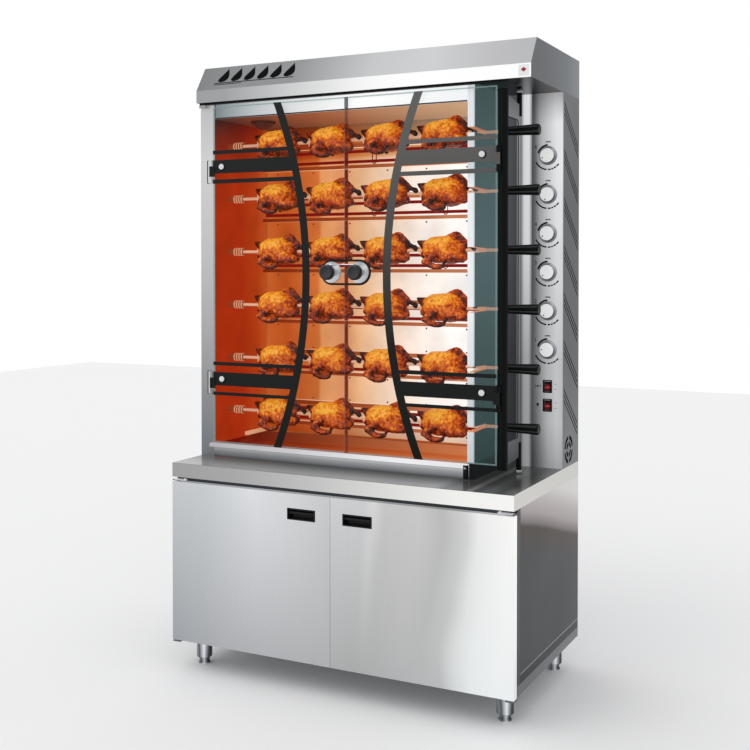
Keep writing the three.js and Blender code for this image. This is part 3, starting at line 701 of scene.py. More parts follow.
class Shape:
    """A mesh in the making, from turned, boxed, extruded and swept parts."""

    def __init__(self) -> None:
        """Starts empty."""
        self.mesh = bmesh.new()

    def turned(
        self,
        profile: Sequence[Point],
        axis: Axis,
        centre: Sequence[float],
        sides: int = 40,
        sign: int = 1,
    ) -> Shape:
        """Adds a turned part.

        Args:
            profile: A radius and a distance along the axis for each point, from end to end.
            axis: The axis to turn about.
            centre: A point on the axis.
            sides: How many flats the round has.
            sign: -1 to run the profile the other way along the axis.

        Returns:
            The shape itself.
        """
        first, second = (a for a in range(3) if a != axis.value)
        loops = []
        for radius, distance in profile:
            count = 1 if radius < 1e-6 else sides
            loop = []
            for step in range(count):
                angle = math.tau * step / sides
                point = list(centre)
                point[axis.value] += sign * distance
                point[first] += radius * math.cos(angle)
                point[second] += radius * math.sin(angle)
                loop.append(self.mesh.verts.new(point))
            loops.append(loop)
        for one, two in zip(loops, loops[1:]):
            for step in range(sides):
                corners = [
                    one[step % len(one)],
                    one[(step + 1) % len(one)],
                    two[(step + 1) % len(two)],
                    two[step % len(two)],
                ]
                unique = list(dict.fromkeys(corners))
                if len(unique) > 2:
                    self.mesh.faces.new(unique)
        return self

    def box(self, low: Sequence[float], high: Sequence[float]) -> Shape:
        """Adds a box between two corners."""
        size = Vector(high) - Vector(low)
        middle = (Vector(high) + Vector(low)) / 2
        matrix = Matrix.Translation(middle) @ Matrix.Diagonal((*size, 1.0))
        bmesh.ops.create_cube(self.mesh, size=1.0, matrix=matrix)
        return self

    def plate(
        self, outline: Sequence[Point], axis: Axis, span: Span, hole: Sequence[Point] = ()
    ) -> Shape:
        """Adds a flat plate of any outline.

        Args:
            outline: Points in the plane across the axis, in order.
            axis: The axis that the plate's thickness runs along.
            span: Where the plate starts and ends on that axis.
            hole: Points of a hole, as many as in the outline and in the same order.

        Returns:
            The shape itself.
        """
        first, second = (a for a in range(3) if a != axis.value)

        def corners(points: Sequence[Point], level: float) -> list:
            """One ring of vertices at a level."""
            ring = []
            for u, v in points:
                point = [0.0, 0.0, 0.0]
                point[axis.value], point[first], point[second] = level, u, v
                ring.append(self.mesh.verts.new(point))
            return ring

        rings = [corners(outline, level) for level in span]
        count = len(outline)
        inner = [corners(hole, level) for level in span] if hole else []
        for step in range(count):
            after = (step + 1) % count
            self.mesh.faces.new([rings[0][step], rings[0][after], rings[1][after], rings[1][step]])
            for level in range(2 if hole else 0):
                a, b = rings[level], inner[level]
                self.mesh.faces.new([a[step], a[after], b[after], b[step]])
            if hole:
                self.mesh.faces.new([inner[0][after], inner[0][step], inner[1][step], inner[1][after]])
        if not hole:
            self.mesh.faces.new(rings[0])
            self.mesh.faces.new(rings[1])
        return self

    def swept(self, path: Sequence[Vector], radius: float, sides: int = 12) -> Shape:
        """Adds a round rod that follows a path of points."""
        rings = []
        for place, point in enumerate(path):
            ahead = path[min(place + 1, len(path) - 1)] - path[max(place - 1, 0)]
            turn = ahead.to_track_quat("Z", "Y")
            ring = []
            for step in range(sides):
                angle = math.tau * step / sides
                offset = Vector((radius * math.cos(angle), radius * math.sin(angle), 0.0))
                ring.append(self.mesh.verts.new(point + turn @ offset))
            rings.append(ring)
        for one, two in zip(rings, rings[1:]):
            for step in range(sides):
                after = (step + 1) % sides
                self.mesh.faces.new([one[step], one[after], two[after], two[step]])
        self.mesh.faces.new(rings[0])
        self.mesh.faces.new(rings[-1])
        return self

    def finished(self, name: str, finish: Material, bevel: float = 0.0) -> Mesh:
        """Closes the shape.

        Args:
            name: The mesh's name.
            finish: Its material.
            bevel: How far sharp edges are rounded, in metres.

        Returns:
            The mesh, with faces outwards and curved faces smooth.
        """
        bmesh.ops.recalc_face_normals(self.mesh, faces=self.mesh.faces)
        if bevel:
            sharp = [e for e in self.mesh.edges if e.calc_face_angle(0.0) > BEVEL_ANGLE]
            bmesh.ops.bevel(self.mesh, geom=sharp, offset=bevel, segments=2, profile=0.6, affect="EDGES")
        mesh = bpy.data.meshes.new(name)
        self.mesh.to_mesh(mesh)
        self.mesh.free()
        mesh.polygons.foreach_set("use_smooth", [True] * len(mesh.polygons))
        mesh.set_sharp_from_angle(angle=SHARP_ANGLE)
        facing = mesh.attributes.new("facing", "FLOAT_VECTOR", "POINT")
        facing.data.foreach_set("vector", [c for v in mesh.vertices for c in v.normal])
        mesh.materials.append(finish)
        return mesh

    def piece(
        self,
        name: str,
        finish: Material,
        body: str,
        slot: str,
        bevel: float = 0.0,
        replaces: Sequence[str] = (),
    ) -> bpy.types.Object:
        """Closes the shape and makes it a piece of the oven.

        Args:
            name: The piece's name.
            finish: Its material.
            body: The body it rides on.
            slot: Not used.
            bevel: How far sharp edges are rounded, in metres.
            replaces: Nodes that it stands for.

        Returns:
            The piece.
        """
        return settle(name, self.finished(name, finish, bevel), body, replaces)


def arc(centre: Sequence[float], radius: float, start: float, end: float, steps: int) -> list:
    """Points on an arc, from one angle to another in degrees."""
    angles = [math.radians(start + (end - start) * step / steps) for step in range(steps + 1)]
    return [(centre[0] + radius * math.cos(a), centre[1] + radius * math.sin(a)) for a in angles]


def rounded(u: Span, v: Span, corner: float, steps: int = 5) -> list[Point]:
    """The outline of a rectangle with round corners."""
    centres = (
        (u[1] - corner, v[0] + corner, -90), (u[1] - corner, v[1] - corner, 0),
        (u[0] + corner, v[1] - corner, 90), (u[0] + corner, v[0] + corner, 180),
    )
    points = []
    for x, y, start in centres:
        points += arc((x, y), corner, start, start + 90, steps)
    return points


# ---------------------------------------------------------------- repeated things


class ShapesAtPoints:
    """A Geometry Nodes tree that puts one shape at every point of a mesh."""

    def __init__(self) -> None:
        """Builds the tree, with named inputs for the shape, its size and its turn."""
        tree = bpy.data.node_groups.new("shapes_at_points", "GeometryNodeTree")
        sockets = {
            "Points": "NodeSocketGeometry",
            "Shape": "NodeSocketObject",
            "Finish": "NodeSocketMaterial",
            "Size": "NodeSocketFloat",
            "Size Spread": "NodeSocketFloat",
            "Turn Spread": "NodeSocketVector",
            "Seed": "NodeSocketInt",
        }
        self.keys = {}
        for label, kind in sockets.items():
            socket = tree.interface.new_socket(name=label, in_out="INPUT", socket_type=kind)
            self.keys[label] = socket.identifier
        tree.interface.new_socket(name="Result", in_out="OUTPUT", socket_type="NodeSocketGeometry")
        maker = NodeMaker(tree)
        entry = maker.add("NodeGroupInput")
        out = entry.outputs
        shape = maker.add("GeometryNodeObjectInfo", {"Object": out["Shape"]})
        backwards = maker.add(
            "ShaderNodeVectorMath", {0: out["Turn Spread"], "Scale": -1.0}, operation="SCALE"
        )
        turn = maker.add("FunctionNodeRandomValue", data_type="FLOAT_VECTOR")
        maker.tree.links.new(backwards.outputs[0], turn.inputs[0])
        maker.tree.links.new(out["Turn Spread"], turn.inputs[1])
        maker.tree.links.new(out["Seed"], turn.inputs["Seed"])
        size = maker.add("FunctionNodeRandomValue", data_type="FLOAT")
        smallest = maker.maths("SUBTRACT", out["Size"], out["Size Spread"])
        maker.tree.links.new(smallest, size.inputs[2])
        maker.tree.links.new(out["Size"], size.inputs[3])
        maker.tree.links.new(out["Seed"], size.inputs["Seed"])
        placed = maker.add(
            "GeometryNodeInstanceOnPoints",
            {
                "Points": out["Points"],
                "Instance": shape.outputs["Geometry"],
                "Rotation": turn.outputs[0],
                "Scale": size.outputs[1],
            },
        )
        real = maker.add("GeometryNodeRealizeInstances", {"Geometry": placed.outputs[0]})
        dressed = maker.add(
            "GeometryNodeSetMaterial", {"Geometry": real.outputs[0], "Material": out["Finish"]}
        )
        maker.add("NodeGroupOutput", {0: dressed.outputs[0]})
        self.tree = tree

    def place(
        self,
        name: str,
        shape: Mesh,
        points: Sequence[Sequence[float]],
        size_spread: float = 0.0,
        turn_spread: Sequence[float] = (0.0, 0.0, 0.0),
        seed: int = 1,
    ) -> Mesh:
        """Puts a shape at points, as one plain mesh.

        Args:
            name: The mesh's name.
            shape: The shape, about the origin, with its material.
            points: Where it goes.
            size_spread: How much smaller than full size a copy may be.
            turn_spread: How far a copy may turn about each axis, in radians.
            seed: The random seed.

        Returns:
            The mesh.
        """
        base = bpy.data.meshes.new(name + "_points")
        base.from_pydata([tuple(p) for p in points], [], [])
        holder = bpy.data.objects.new(name + "_points", base)
        pattern = bpy.data.objects.new(name + "_pattern", shape)
        for helper in (holder, pattern):
            bpy.context.scene.collection.objects.link(helper)
        modifier = holder.modifiers.new("shapes", "NODES")
        modifier.node_group = self.tree
        values = {
            "Shape": pattern,
            "Finish": shape.materials[0],
            "Size": 1.0,
            "Size Spread": size_spread,
            "Turn Spread": list(turn_spread),
            "Seed": seed,
        }
        for label, value in values.items():
            modifier[self.keys[label]] = value
        graph = bpy.context.evaluated_depsgraph_get()
        mesh = bpy.data.meshes.new_from_object(
            holder.evaluated_get(graph), preserve_all_data_layers=True, depsgraph=graph
        )
        mesh.name = name
        holder.modifiers.clear()
        for helper in (holder, pattern):
            bpy.data.objects.remove(helper)
        return mesh


AT_POINTS = ShapesAtPoints()


# ---------------------------------------------------------------- cabinet


@dataclass
class Cabinet:
    """The cabinet under the worktop: doors, sheets, tray, legs and feet."""

    trim_height: float = 0.027
    trim_line: float = 0.002
    sheen_lean: float = 0.264
    leg_radius: float = 0.0264
    leg_top: float = 0.1
    foot_top: float = 0.0225

    def dress_doors(self) -> None:
        """Gives the two doors their sweep of light."""
        low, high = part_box("cabinet_door_left")
        across = (low.x, high.x)
        left = Palette(
            Tone(Axis.X, across, ((0.0, "a4a8ad"), (0.3, "b2b4b7"), (0.6, "b9babd"), (1.0, "b7b9bb"))),
            upper=Tone(
                Axis.X,
                across,
                ((0.0, "cbcdcf"), (0.2, "cdd1d4"), (0.52, "e1e3e7"), (0.75, "d9dbdd"), (1.0, "cccdcf")),
                0.12,
            ),
            rise=(low.z, high.z),
        )
        dress("cabinet_door_left", BrushedSteel("door_sheet_left", left, roughness=0.26).build())
        low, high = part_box("cabinet_door_right")
        across = (low.x, high.x)
        bottom_stops = (
            (0.0, "b6b6b7"), (0.17, "b2b4b4"), (0.45, "bcbdbe"), (0.66, "c2c5c5"), (0.74, "dcdfdf"),
            (0.85, "eff4f5"), (1.0, "f7fafb"),
        )
        top_stops = (
            (0.0, "d2d4d6"), (0.16, "d0d2d3"), (0.22, "dcdcdc"), (0.28, "cacaca"), (0.45, "cecece"),
            (0.56, "c0c0c0"), (0.68, "d8d8d8"), (0.76, "f2f3f2"), (1.0, "fdfdfb"),
        )
        right = Palette(
            Tone(Axis.X, across, bottom_stops, 0.16),
            upper=Tone(Axis.X, across, top_stops, 0.16),
            rise=(low.z, high.z),
        )
        dress("cabinet_door_right", BrushedSteel("door_sheet_right", right, roughness=0.2).build())

    def dress_sheets(self) -> None:
        """Gives the shell, the frame and the tray their finishes, with painted reflections on the shell's
        right side.
        """
        low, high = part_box("cabinet_shell")
        trim = low.z + self.trim_height
        # Painted reflections on the right side: dark low down, a brown band, then light towards the top,
        # leaning with depth.
        side_stops = (
            (0.0, "2c2f32"), (0.6, "282b2e"), (0.64, "2c2826"), (0.7, "34281f"), (0.735, "30261e"),
            (0.76, "6e6464"), (0.82, "9c9494"), (0.9, "b0a9a9"), (1.0, "cccac9"),
        )
        span = (low.z, high.z + 0.02)
        right_side = at_face(Axis.X, high.x)
        below = Zone((right_side, (Axis.Z, (low.z - 0.01, trim))), plain_tone("1e2124"))
        line = Zone((right_side, (Axis.Z, (trim, trim + self.trim_line))), plain_tone("a0a3a6"))
        side = Zone((right_side,), Tone(Axis.Z, span, side_stops, 0.02, (0.0, self.sheen_lean, 0.0)))
        shell = Palette(plain_tone("8e9194", "a6a9ac"), zones=(side, below, line))
        looks = {"roughness": 0.3, "metallic": 0.3, "depth": 0.1, "glow": 0.6, "specular": 0.1}
        steel = BrushedSteel("cabinet_sheet", shell, Axis.Y, **looks)
        dress("cabinet_shell", steel.build())
        frame = BrushedSteel("cabinet_frame_steel", one_colour("3c3f42"), roughness=0.36, glow=0.2)
        dress("cabinet_frame", frame.build())
        tray = BrushedSteel("cabinet_tray_steel", one_colour("63666a"), brushing=Axis.Y)
        dress("cabinet_base", tray.build())

    def build_legs(self) -> None:
        """Makes the round leg sleeves and the levelling feet."""
        # Painted reflections: light and dark bands round the chrome by where it faces, with a painted glow.
        mirror = Bands(
            (0.9, 0.43, 0.0),
            (
                (0.0, "3a3c3f"), (0.14, "8f9295"), (0.26, "5a5d60"), (0.42, "c9cccf"), (0.55, "ffffff"),
                (0.66, "b0b3b6"), (0.8, "505356"), (0.93, "2b2d2f"), (1.0, "6a6d70"),
            ),
        )
        steel = smooth("leg_steel", "f2f4f6", 0.2, 1.0, glow=0.55, bands=mirror)
        foot_steel = smooth("foot_zinc", "d2d5d8", 0.3, 1.0, glow=0.5, bands=mirror)
        wall = 0.0003
        for row in ("front", "rear"):
            for side in SIDES:
                node = f"foot_{row}_{side}"
                low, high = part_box(node)
                centre = ((low.x + high.x) / 2, (low.y + high.y) / 2, 0.0)
                inner = self.leg_radius - wall
                sleeve = [
                    (inner, self.foot_top + 0.001), (self.leg_radius, self.foot_top + 0.003),
                    (self.leg_radius, self.leg_top), (inner, self.leg_top),
                    (inner, self.foot_top + 0.001),
                ]
                mesh = Shape().turned(sleeve, Axis.Z, centre).finished("leg", steel)
                settle(f"leg_sleeve_{row}_{side}", mesh, FIXED_BODY)
                foot = [
                    (0.0, 0.0), (0.0175, 0.0), (0.0198, 0.002), (0.0198, 0.006), (0.016, 0.009),
                    (0.0168, 0.011), (0.0205, 0.0215), (0.0205, self.foot_top), (0.0078, self.foot_top),
                    (0.0078, 0.0618), (0.0, 0.0618),
                ]
                mesh = Shape().turned(foot, Axis.Z, centre).finished("foot", foot_steel)
                settle(f"{node}_turned", mesh, node, [node])

    def build_pulls(self) -> None:
        """Makes the recessed pulls, with a lip round each cup and a grip bar across its top."""
        black = smooth("pull_plastic", "101113", 0.36, specular=0.2)
        for side in SIDES:
            node = f"recessed_pull_{side}"
            dress(node, black)
            low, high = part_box(node)
            lip = 0.0042
            outer = rounded((low.x + 0.0003, high.x - 0.0003), (low.z + 0.0003, high.z - 0.0003), 0.004)
            inner = rounded((low.x + lip, high.x - lip), (low.z + lip, high.z - lip), 0.003)
            front = CAD_BOX[0].y
            shape = Shape().plate(outer, Axis.Y, (front - 0.0012, front + 0.0006), inner)
            shape.piece(f"pull_lip_{side}", black, f"cabinet_{side}_door", "black_plastic", 0.0004)
            middle = (low.z + high.z) / 2
            grip = [
                Vector(
                    (low.x + 0.006 + (high.x - low.x - 0.012) * step / 10, front + 0.0066, middle + 0.004)
                ) for step in range(11)
            ]
            mesh = Shape().swept(grip, 0.0052, 16).finished("pull_grip", black)
            settle(f"pull_grip_{side}", mesh, f"cabinet_{side}_door")

    def build_hinge_pins(self) -> None:
        """Makes the bright hinge plate above each door's outer corner, with its round end."""
        chrome = smooth("pivot_chrome", "d2d4d6", 0.18, 1.0, glow=0.4)
        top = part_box("cabinet_door_right")[1].z
        front = CAD_BOX[0].y
        length, half = 0.052, 0.0075
        for side, sign in SIDES.items():
            ends = sorted((sign * 0.5985, sign * (0.5985 - length)))
            outline = rounded((ends[0], ends[1]), (front + 0.001, front + 0.001 + 2 * half), half - 0.001)
            shape = Shape().plate(outline, Axis.Z, (top + 0.0048, top + 0.0078))
            knob = [
                (0.0, top + 0.0078), (0.0045, top + 0.0078), (0.004, top + 0.0105), (0.0, top + 0.0105)
            ]
            shape.turned(knob, Axis.Z, (sign * (0.5985 - length + half), front + 0.001 + half, 0.0), 16)
            shape.piece(f"pivot_plate_{side}", chrome, FIXED_BODY, "spit_steel")

    def build(self) -> None:
        """Builds and dresses the whole cabinet."""
        self.dress_doors()
        self.dress_sheets()
        self.build_legs()
        self.build_pulls()
        self.build_hinge_pins()
        LOG.info("cabinet: sheets, legs, feet, pulls and pivots")


# ---------------------------------------------------------------- worktop and drawer


@dataclass
class WorktopAndDrawer:
    """The worktop with its deep front edge, and the drip drawer on it."""

    fascia_top: float = 0.6885

    def build(self) -> None:
        """Dresses the worktop and the drawer, and adds the drawer's end cap."""
        low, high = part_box("worktop")
        # Painted light: the front edge sweeps from grey to white, and the top is light at its front edge
        # and dark behind it, with painted reflection streaks across it.
        front_stops = (
            (0.0, "a2a2a3"), (0.22, "adadae"), (0.45, "c6c6c6"), (0.66, "e0e1de"), (0.85, "f5f5f2"),
            (1.0, "fbfbf8"),
        )
        top_stops = (
            (0.0, "929293"), (0.05, "969697"), (0.12, "868686"), (0.19, "6e6e6b"), (0.4, "5a5c5b"),
            (1.0, "5c5e5e"),
        )
        painted_streaks = (
            (0.0, "ffffff"), (0.7, "f2f2f2"), (0.79, "ffffff"), (0.82, "b0b0b0"), (0.87, "9c9c9c"),
            (0.885, "ffffff"), (0.9, "a0a0a0"), (0.93, "c8c8c8"), (0.96, "a8a8a8"), (1.0, "e0e0e0"),
        )
        across = (low.x, high.x)
        top = Zone(
            ((Axis.Z, (self.fascia_top, high.z + 0.01)),),
            Tone(Axis.Y, (low.y, high.y), top_stops),
            Tone(Axis.X, across, painted_streaks),
        )
        side = Zone(
            (at_face(Axis.X, high.x),), Tone(Axis.Y, (low.y, high.y), ((0.0, "c8c6c2"), (1.0, "bdbcb8")))
        )
        palette = Palette(Tone(Axis.X, across, front_stops), zones=(top, side))
        steel = BrushedSteel("worktop_sheet", palette, Axis.X, 0.2, depth=0.1, glow=0.5)
        dress("worktop", steel.build())
        self.dress_drawer()
        self.build_end_cap()
        self.build_tray_trim()
        LOG.info("worktop and drip drawer")

    def dress_drawer(self) -> None:
        """Gives the drawer a lip with a painted sweep of light, a grey band under it with painted shade low
        down and to the left, and a tray with the burners' glow painted in, darker to the left.
        """
        low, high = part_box("drip_drawer")
        across = (low.x, high.x)
        lip = Tone(Axis.X, across, ((0.0, "b4b2b6"), (0.4, "d4d5d8"), (0.8, "f2f3f6"), (1.0, "eaebee")))
        band_stops = (
            (0.0, "4e5053"), (0.25, "7e8184"), (0.6, "a0a2a5"), (0.85, "c4c4c6"), (1.0, "8a8a8c")
        )
        band = Zone(
            ((Axis.Z, (low.z - 0.01, high.z - 0.0122)),),
            Tone(Axis.Z, (low.z, high.z - 0.012), band_stops),
            Tone(Axis.X, across, ((0.0, "c8c8c8"), (0.5, "ececec"), (1.0, "f8f8f8"))),
        )
        # Painted light: the tray takes the burners' glow, darker towards the left.
        tray_stops = (
            (0.0, "b24c26"), (0.24, "c4541e"), (0.42, "c25622"), (0.48, "d67a40"), (0.64, "d27138"),
            (0.8, "c4602c"), (1.0, "d08050"),
        )
        behind_band = (Axis.Y, (low.y + 0.0195, high.y + 0.01))
        inside = Zone(
            (behind_band,),
            Tone(Axis.Y, (low.y + 0.018, high.y), tray_stops, 0.02),
            Tone(Axis.X, across, ((0.0, "8c4a40"), (0.3, "b88a78"), (0.6, "e4d4cc"), (1.0, "ffffff"))),
        )
        entry_stops = ((0.0, "700c03"), (0.22, "901201"), (0.55, "b83e12"), (1.0, "c6561e"))
        entry = Zone(
            ((Axis.Y, (low.y + 0.0195, 0.03)), (Axis.Z, (high.z - 0.012, high.z + 0.01))),
            Tone(Axis.X, across, entry_stops, 0.04),
        )
        under = Zone((behind_band, (Axis.Z, (low.z - 0.01, high.z - 0.0285))), plain_tone("2c2d2f"))
        steel = HeatedSheet(
            "drawer_sheet", Palette(lip, zones=(band, inside, entry, under)), 0.85, 0.4, 0.1
        )
        dress("drip_drawer", steel.build())

    def build_tray_trim(self) -> None:
        """Makes the orange edge strip behind the tray and the pale guide along its left side."""
        low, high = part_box("drip_drawer")
        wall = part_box("left_wall")[1].x
        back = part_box("heat_wall")[1].y - 0.002
        warm = HeatedSheet("tray_edge_enamel", one_colour("b0541f")).build()
        shape = Shape().box(
            (wall + 0.0005, high.y + 0.0006, high.z - 0.001), (low.x + 0.94, back, high.z + 0.0045)
        )
        shape.piece("tray_back_edge", warm, FIXED_BODY, "hot_enamel", 0.0004)
        pale = HeatedSheet("tray_guide_enamel", one_colour("e8b088")).build()
        guide = Shape().box(
            (wall + 0.0005, 0.03, high.z + 0.001), (wall + 0.012, high.y - 0.004, high.z + 0.014)
        )
        guide.piece("tray_guide", pale, FIXED_BODY, "hot_enamel", 0.001)

    def build_end_cap(self) -> None:
        """Makes the black end of the drawer's lip, with its small latch."""
        low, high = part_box("drip_drawer")
        black = smooth("end_cap_black", "121314", 0.4, specular=0.15)
        chrome = smooth("latch_chrome", "9a9da0", 0.16, 1.0)
        cap = Shape().box(
            (high.x - 0.012, low.y - 0.0012, low.z + 0.001),
            (high.x + 0.0015, low.y + 0.012, high.z - 0.002),
        )
        cap.piece("drawer_end_cap", black, "drip_drawer", "black_paint", 0.0006)
        latch = Shape()
        middle = (high.x - 0.005, low.y - 0.0012, high.z - 0.012)
        profile = [(0.0, 0.0), (0.0045, 0.0), (0.0045, 0.003), (0.002, 0.0045), (0.0, 0.0045)]
        latch.turned(profile, Axis.Y, middle, 20, -1)
        latch.piece("drawer_latch", chrome, "drip_drawer", "spit_steel")


# ---------------------------------------------------------------- oven body


@dataclass
class OvenBody:
    """The walls of the cavity, the burners, the casing round them and the lamp."""

    spit_z: list[float] = field(default_factory=list)
    screw_pitch: float = 0.149
    screw_offsets: Point = (0.023, -0.081)
    clip_columns: Point = (-0.085, 0.185)
    joint_offset: float = 0.333

    def __post_init__(self) -> None:
        """Reads the heights of the spits from the frame."""
        for row in ROWS:
            low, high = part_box(f"spit_driver_{row}")
            self.spit_z.append((low.z + high.z) / 2)

    def dress_walls(self) -> None:
        """Gives the heated walls the burners' light painted in: on the back wall a sweep from deep orange
        to cream with painted shade at the bottom and the top, lit ledge tops and shaded ledge fronts, and
        on the left wall deep orange-red with painted shade towards the ceiling.
        """
        low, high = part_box("heat_wall")
        across = (low.x, high.x)
        # Painted light: the burners' glow from deep orange to cream; the height tone adds painted shade at
        # the bottom and the top; ledge tops are painted lit and ledge fronts shaded.
        back_stops = (
            (0.0, "c65f28"), (0.09, "b9501c"), (0.235, "cb6c33"), (0.25, "dd935c"), (0.29, "e39b66"),
            (0.345, "da8f64"), (0.41, "e6b181"), (0.54, "f3d5bb"), (0.67, "faece2"), (0.8, "fdf8f3"),
            (1.0, "fdfbf8"),
        )
        height_stops = (
            (0.0, "d8b8a4"), (0.04, "ecd8c8"), (0.09, "ffffff"), (0.88, "ffffff"), (0.9, "d9a878"),
            (0.955, "c08a5c"), (1.0, "8c7868"),
        )
        front_stops = ((0.0, "7a2408"), (0.35, "96401a"), (0.65, "b0623c"), (1.0, "c88a68"))
        ledge_stops = ((0.0, "d2783c"), (0.35, "f0c0a0"), (1.0, "fff2e6"))
        plate = high.y - 0.0025
        front = low.y + 0.0012
        palette = Palette(
            Tone(Axis.X, across, back_stops, 0.03),
            Tone(Axis.Z, (low.z, high.z), height_stops),
            zones=(
                Zone(((Axis.Y, (front, plate)),), Tone(Axis.X, across, ledge_stops)),
                Zone(((Axis.Y, (low.y - 0.01, front)),), Tone(Axis.X, across, front_stops)),
                Zone((at_face(Axis.Y, high.y),), plain_tone("242628")),
            ),
        )
        dress("heat_wall", HeatedSheet("heat_wall_enamel", palette, 0.96).build())
        low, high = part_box("left_wall")
        reach = (low.y, 0.18)
        # Painted light: the burners' orange-red glow, with painted shade towards the ceiling.
        left = Palette(
            Tone(
                Axis.Y, reach, ((0.0, "a52c08"), (0.5, "a62c08"), (0.8, "ae3c10"), (1.0, "c05422")), 0.05
            ),
            upper=Tone(
                Axis.Y, reach, ((0.0, "2f2320"), (0.5, "5c160c"), (0.8, "7c1a08"), (1.0, "9e3a15"))
            ),
            rise=(1.68, 1.85),
        )
        dress("left_wall", HeatedSheet("left_wall_enamel", left, 0.92, blotches=0.26).build())
        burner = SmoothFinish("burner_red", one_colour("8c1208"), 0.5, glow=0.5, specular=0.1)
        dress("burner_bank", burner.build())

    def dress_casing(self) -> None:
        """Gives the outer sheets, the ceiling and the right wall their finishes, with painted sweeps of
        light and shade and the burners' glow painted on the ceiling's inner faces.
        """
        # Painted shade: the left column darkens towards the floor.
        column_stops = (
            (0.0, "75797b"), (0.18, "909294"), (0.35, "ababac"), (0.5, "bbbbbc"), (0.68, "c8cac9"),
            (0.84, "d0d1d0"), (1.0, "bcbdbe"),
        )
        low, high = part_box("left_casing")
        column = BrushedSteel("left_column_steel", Palette(Tone(Axis.Z, (low.z, high.z), column_stops)))
        dress("left_casing", column.build())
        low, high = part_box("ceiling")
        # Painted light: the header brightens from left to right, and its inner faces take the burners'
        # glow.
        header_stops = (
            (0.0, "7b8689"), (0.1, "a6adb1"), (0.2, "c6cacc"), (0.35, "e0e2e3"), (0.5, "f4f5f5"),
            (0.62, "ffffff"), (1.0, "f2f5f7"),
        )
        inner = Zone(
            ((Axis.Y, (low.y + 0.003, high.y + 0.01)),),
            Tone(Axis.X, (low.x, high.x), ((0.0, "4a2a20"), (0.4, "8a5236"), (1.0, "b89878"))),
        )
        palette = Palette(Tone(Axis.X, (low.x, high.x), header_stops), zones=(inner,))
        dress("ceiling", BrushedSteel("header_steel", palette, Axis.X, 0.3, glow=0.9).build())
        back = BrushedSteel("rear_sheet", one_colour("6c7074", "7d8185"), roughness=0.42, glow=0.2)
        dress("rear_cover", back.build())
        dress("right_wall", self.right_wall_finish())

    def right_wall_finish(self) -> Material:
        """A painted highlight down the front edge, painted shade on the green-grey outer face, the burners'
        glow painted inside the folded panel, and a dark band below the glass.
        """
        low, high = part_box("right_wall")
        skin = 0.0006
        upright = (low.z, high.z)
        fold = (Axis.X, (low.x + skin, high.x - skin))
        behind = (Axis.Y, (low.y + skin, high.y + skin))
        glass_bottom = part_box("glass_pane_right")[0].z
        # Painted light: a highlight down the front edge, shade on the outer face, and the burners' glow
        # inside the fold.
        bright = Tone(Axis.Z, upright, ((0.0, "ccd4d8"), (0.5, "eef2f4"), (1.0, "e4eaee")))
        dark_stops = (
            (0.0, "2c4040"), (0.3, "3d5252"), (0.6, "506466"), (0.85, "465c5d"), (1.0, "3f5555")
        )
        zones = (
            Zone(
                (fold, behind), Tone(Axis.Z, upright, ((0.0, "f0a06a"), (0.6, "f0b080"), (1.0, "d88a4a")))
            ),
            Zone(((Axis.Y, (low.y - skin, low.y + skin)),), bright),
            Zone(((Axis.X, (high.x - skin, high.x + skin)),), Tone(Axis.Z, upright, dark_stops)),
            Zone(
                ((Axis.X, (low.x - skin, high.x + skin)), (Axis.Z, (low.z - skin, glass_bottom))),
                plain_tone("1c1e1f"),
            ),
        )
        palette = Palette(one_colour("f0c4a0"), zones=zones)
        return HeatedSheet("right_wall_steel", palette, 0.6, 0.4, 0.08).build()

    def build_screws(self) -> None:
        """Puts rows of small screws on the heat wall and the rear cover."""
        # The screws' warm brown and glow are the burners' light painted in.
        steel = smooth("screw_steel", "6a4630", 0.4, 0.2, glow=0.3)
        head = [(0.0, 0.0), (0.0032, 0.0), (0.003, 0.0012), (0.0016, 0.0018), (0.0, 0.0018)]
        low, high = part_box("heat_wall")
        plate = high.y - 0.002
        points = []
        for z in self.spit_z:
            for offset in self.screw_offsets:
                x = low.x + 0.05
                while x < high.x - 0.01:
                    if low.z + 0.01 < z + offset < high.z - 0.01:
                        points.append((x, plate, z + offset))
                    x += self.screw_pitch
        pattern = Shape().turned(head, Axis.Y, (0, 0, 0), 12, -1).finished("screw", steel)
        mesh = AT_POINTS.place("wall_screws", pattern, points, turn_spread=(0, 3.0, 0))
        settle("wall_screws", mesh, FIXED_BODY)
        bright = smooth("rear_screw_steel", "b4b7ba", 0.24, 1.0)
        low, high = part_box("rear_cover")
        inset = 0.012
        across = [low.x + inset + (high.x - low.x - 2 * inset) * step / 6 for step in range(7)]
        up = [low.z + inset + (high.z - low.z - 2 * inset) * step / 6 for step in range(7)]
        points = [(x, high.y, z) for x in across for z in (up[0], up[-1])]
        points += [(x, high.y, z) for x in (across[0], across[-1]) for z in up[1:-1]]
        pattern = Shape().turned(head, Axis.Y, (0, 0, 0), 12).finished("rear_screw", bright)
        mesh = AT_POINTS.place("rear_screws", pattern, points, turn_spread=(0, 3.0, 0))
        settle("rear_screws", mesh, FIXED_BODY)

    def build_wall_trim(self) -> None:
        """Makes the heat wall's middle joint, the bead in its left corner and the header's lip."""
        low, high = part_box("heat_wall")
        plate = high.y - 0.002
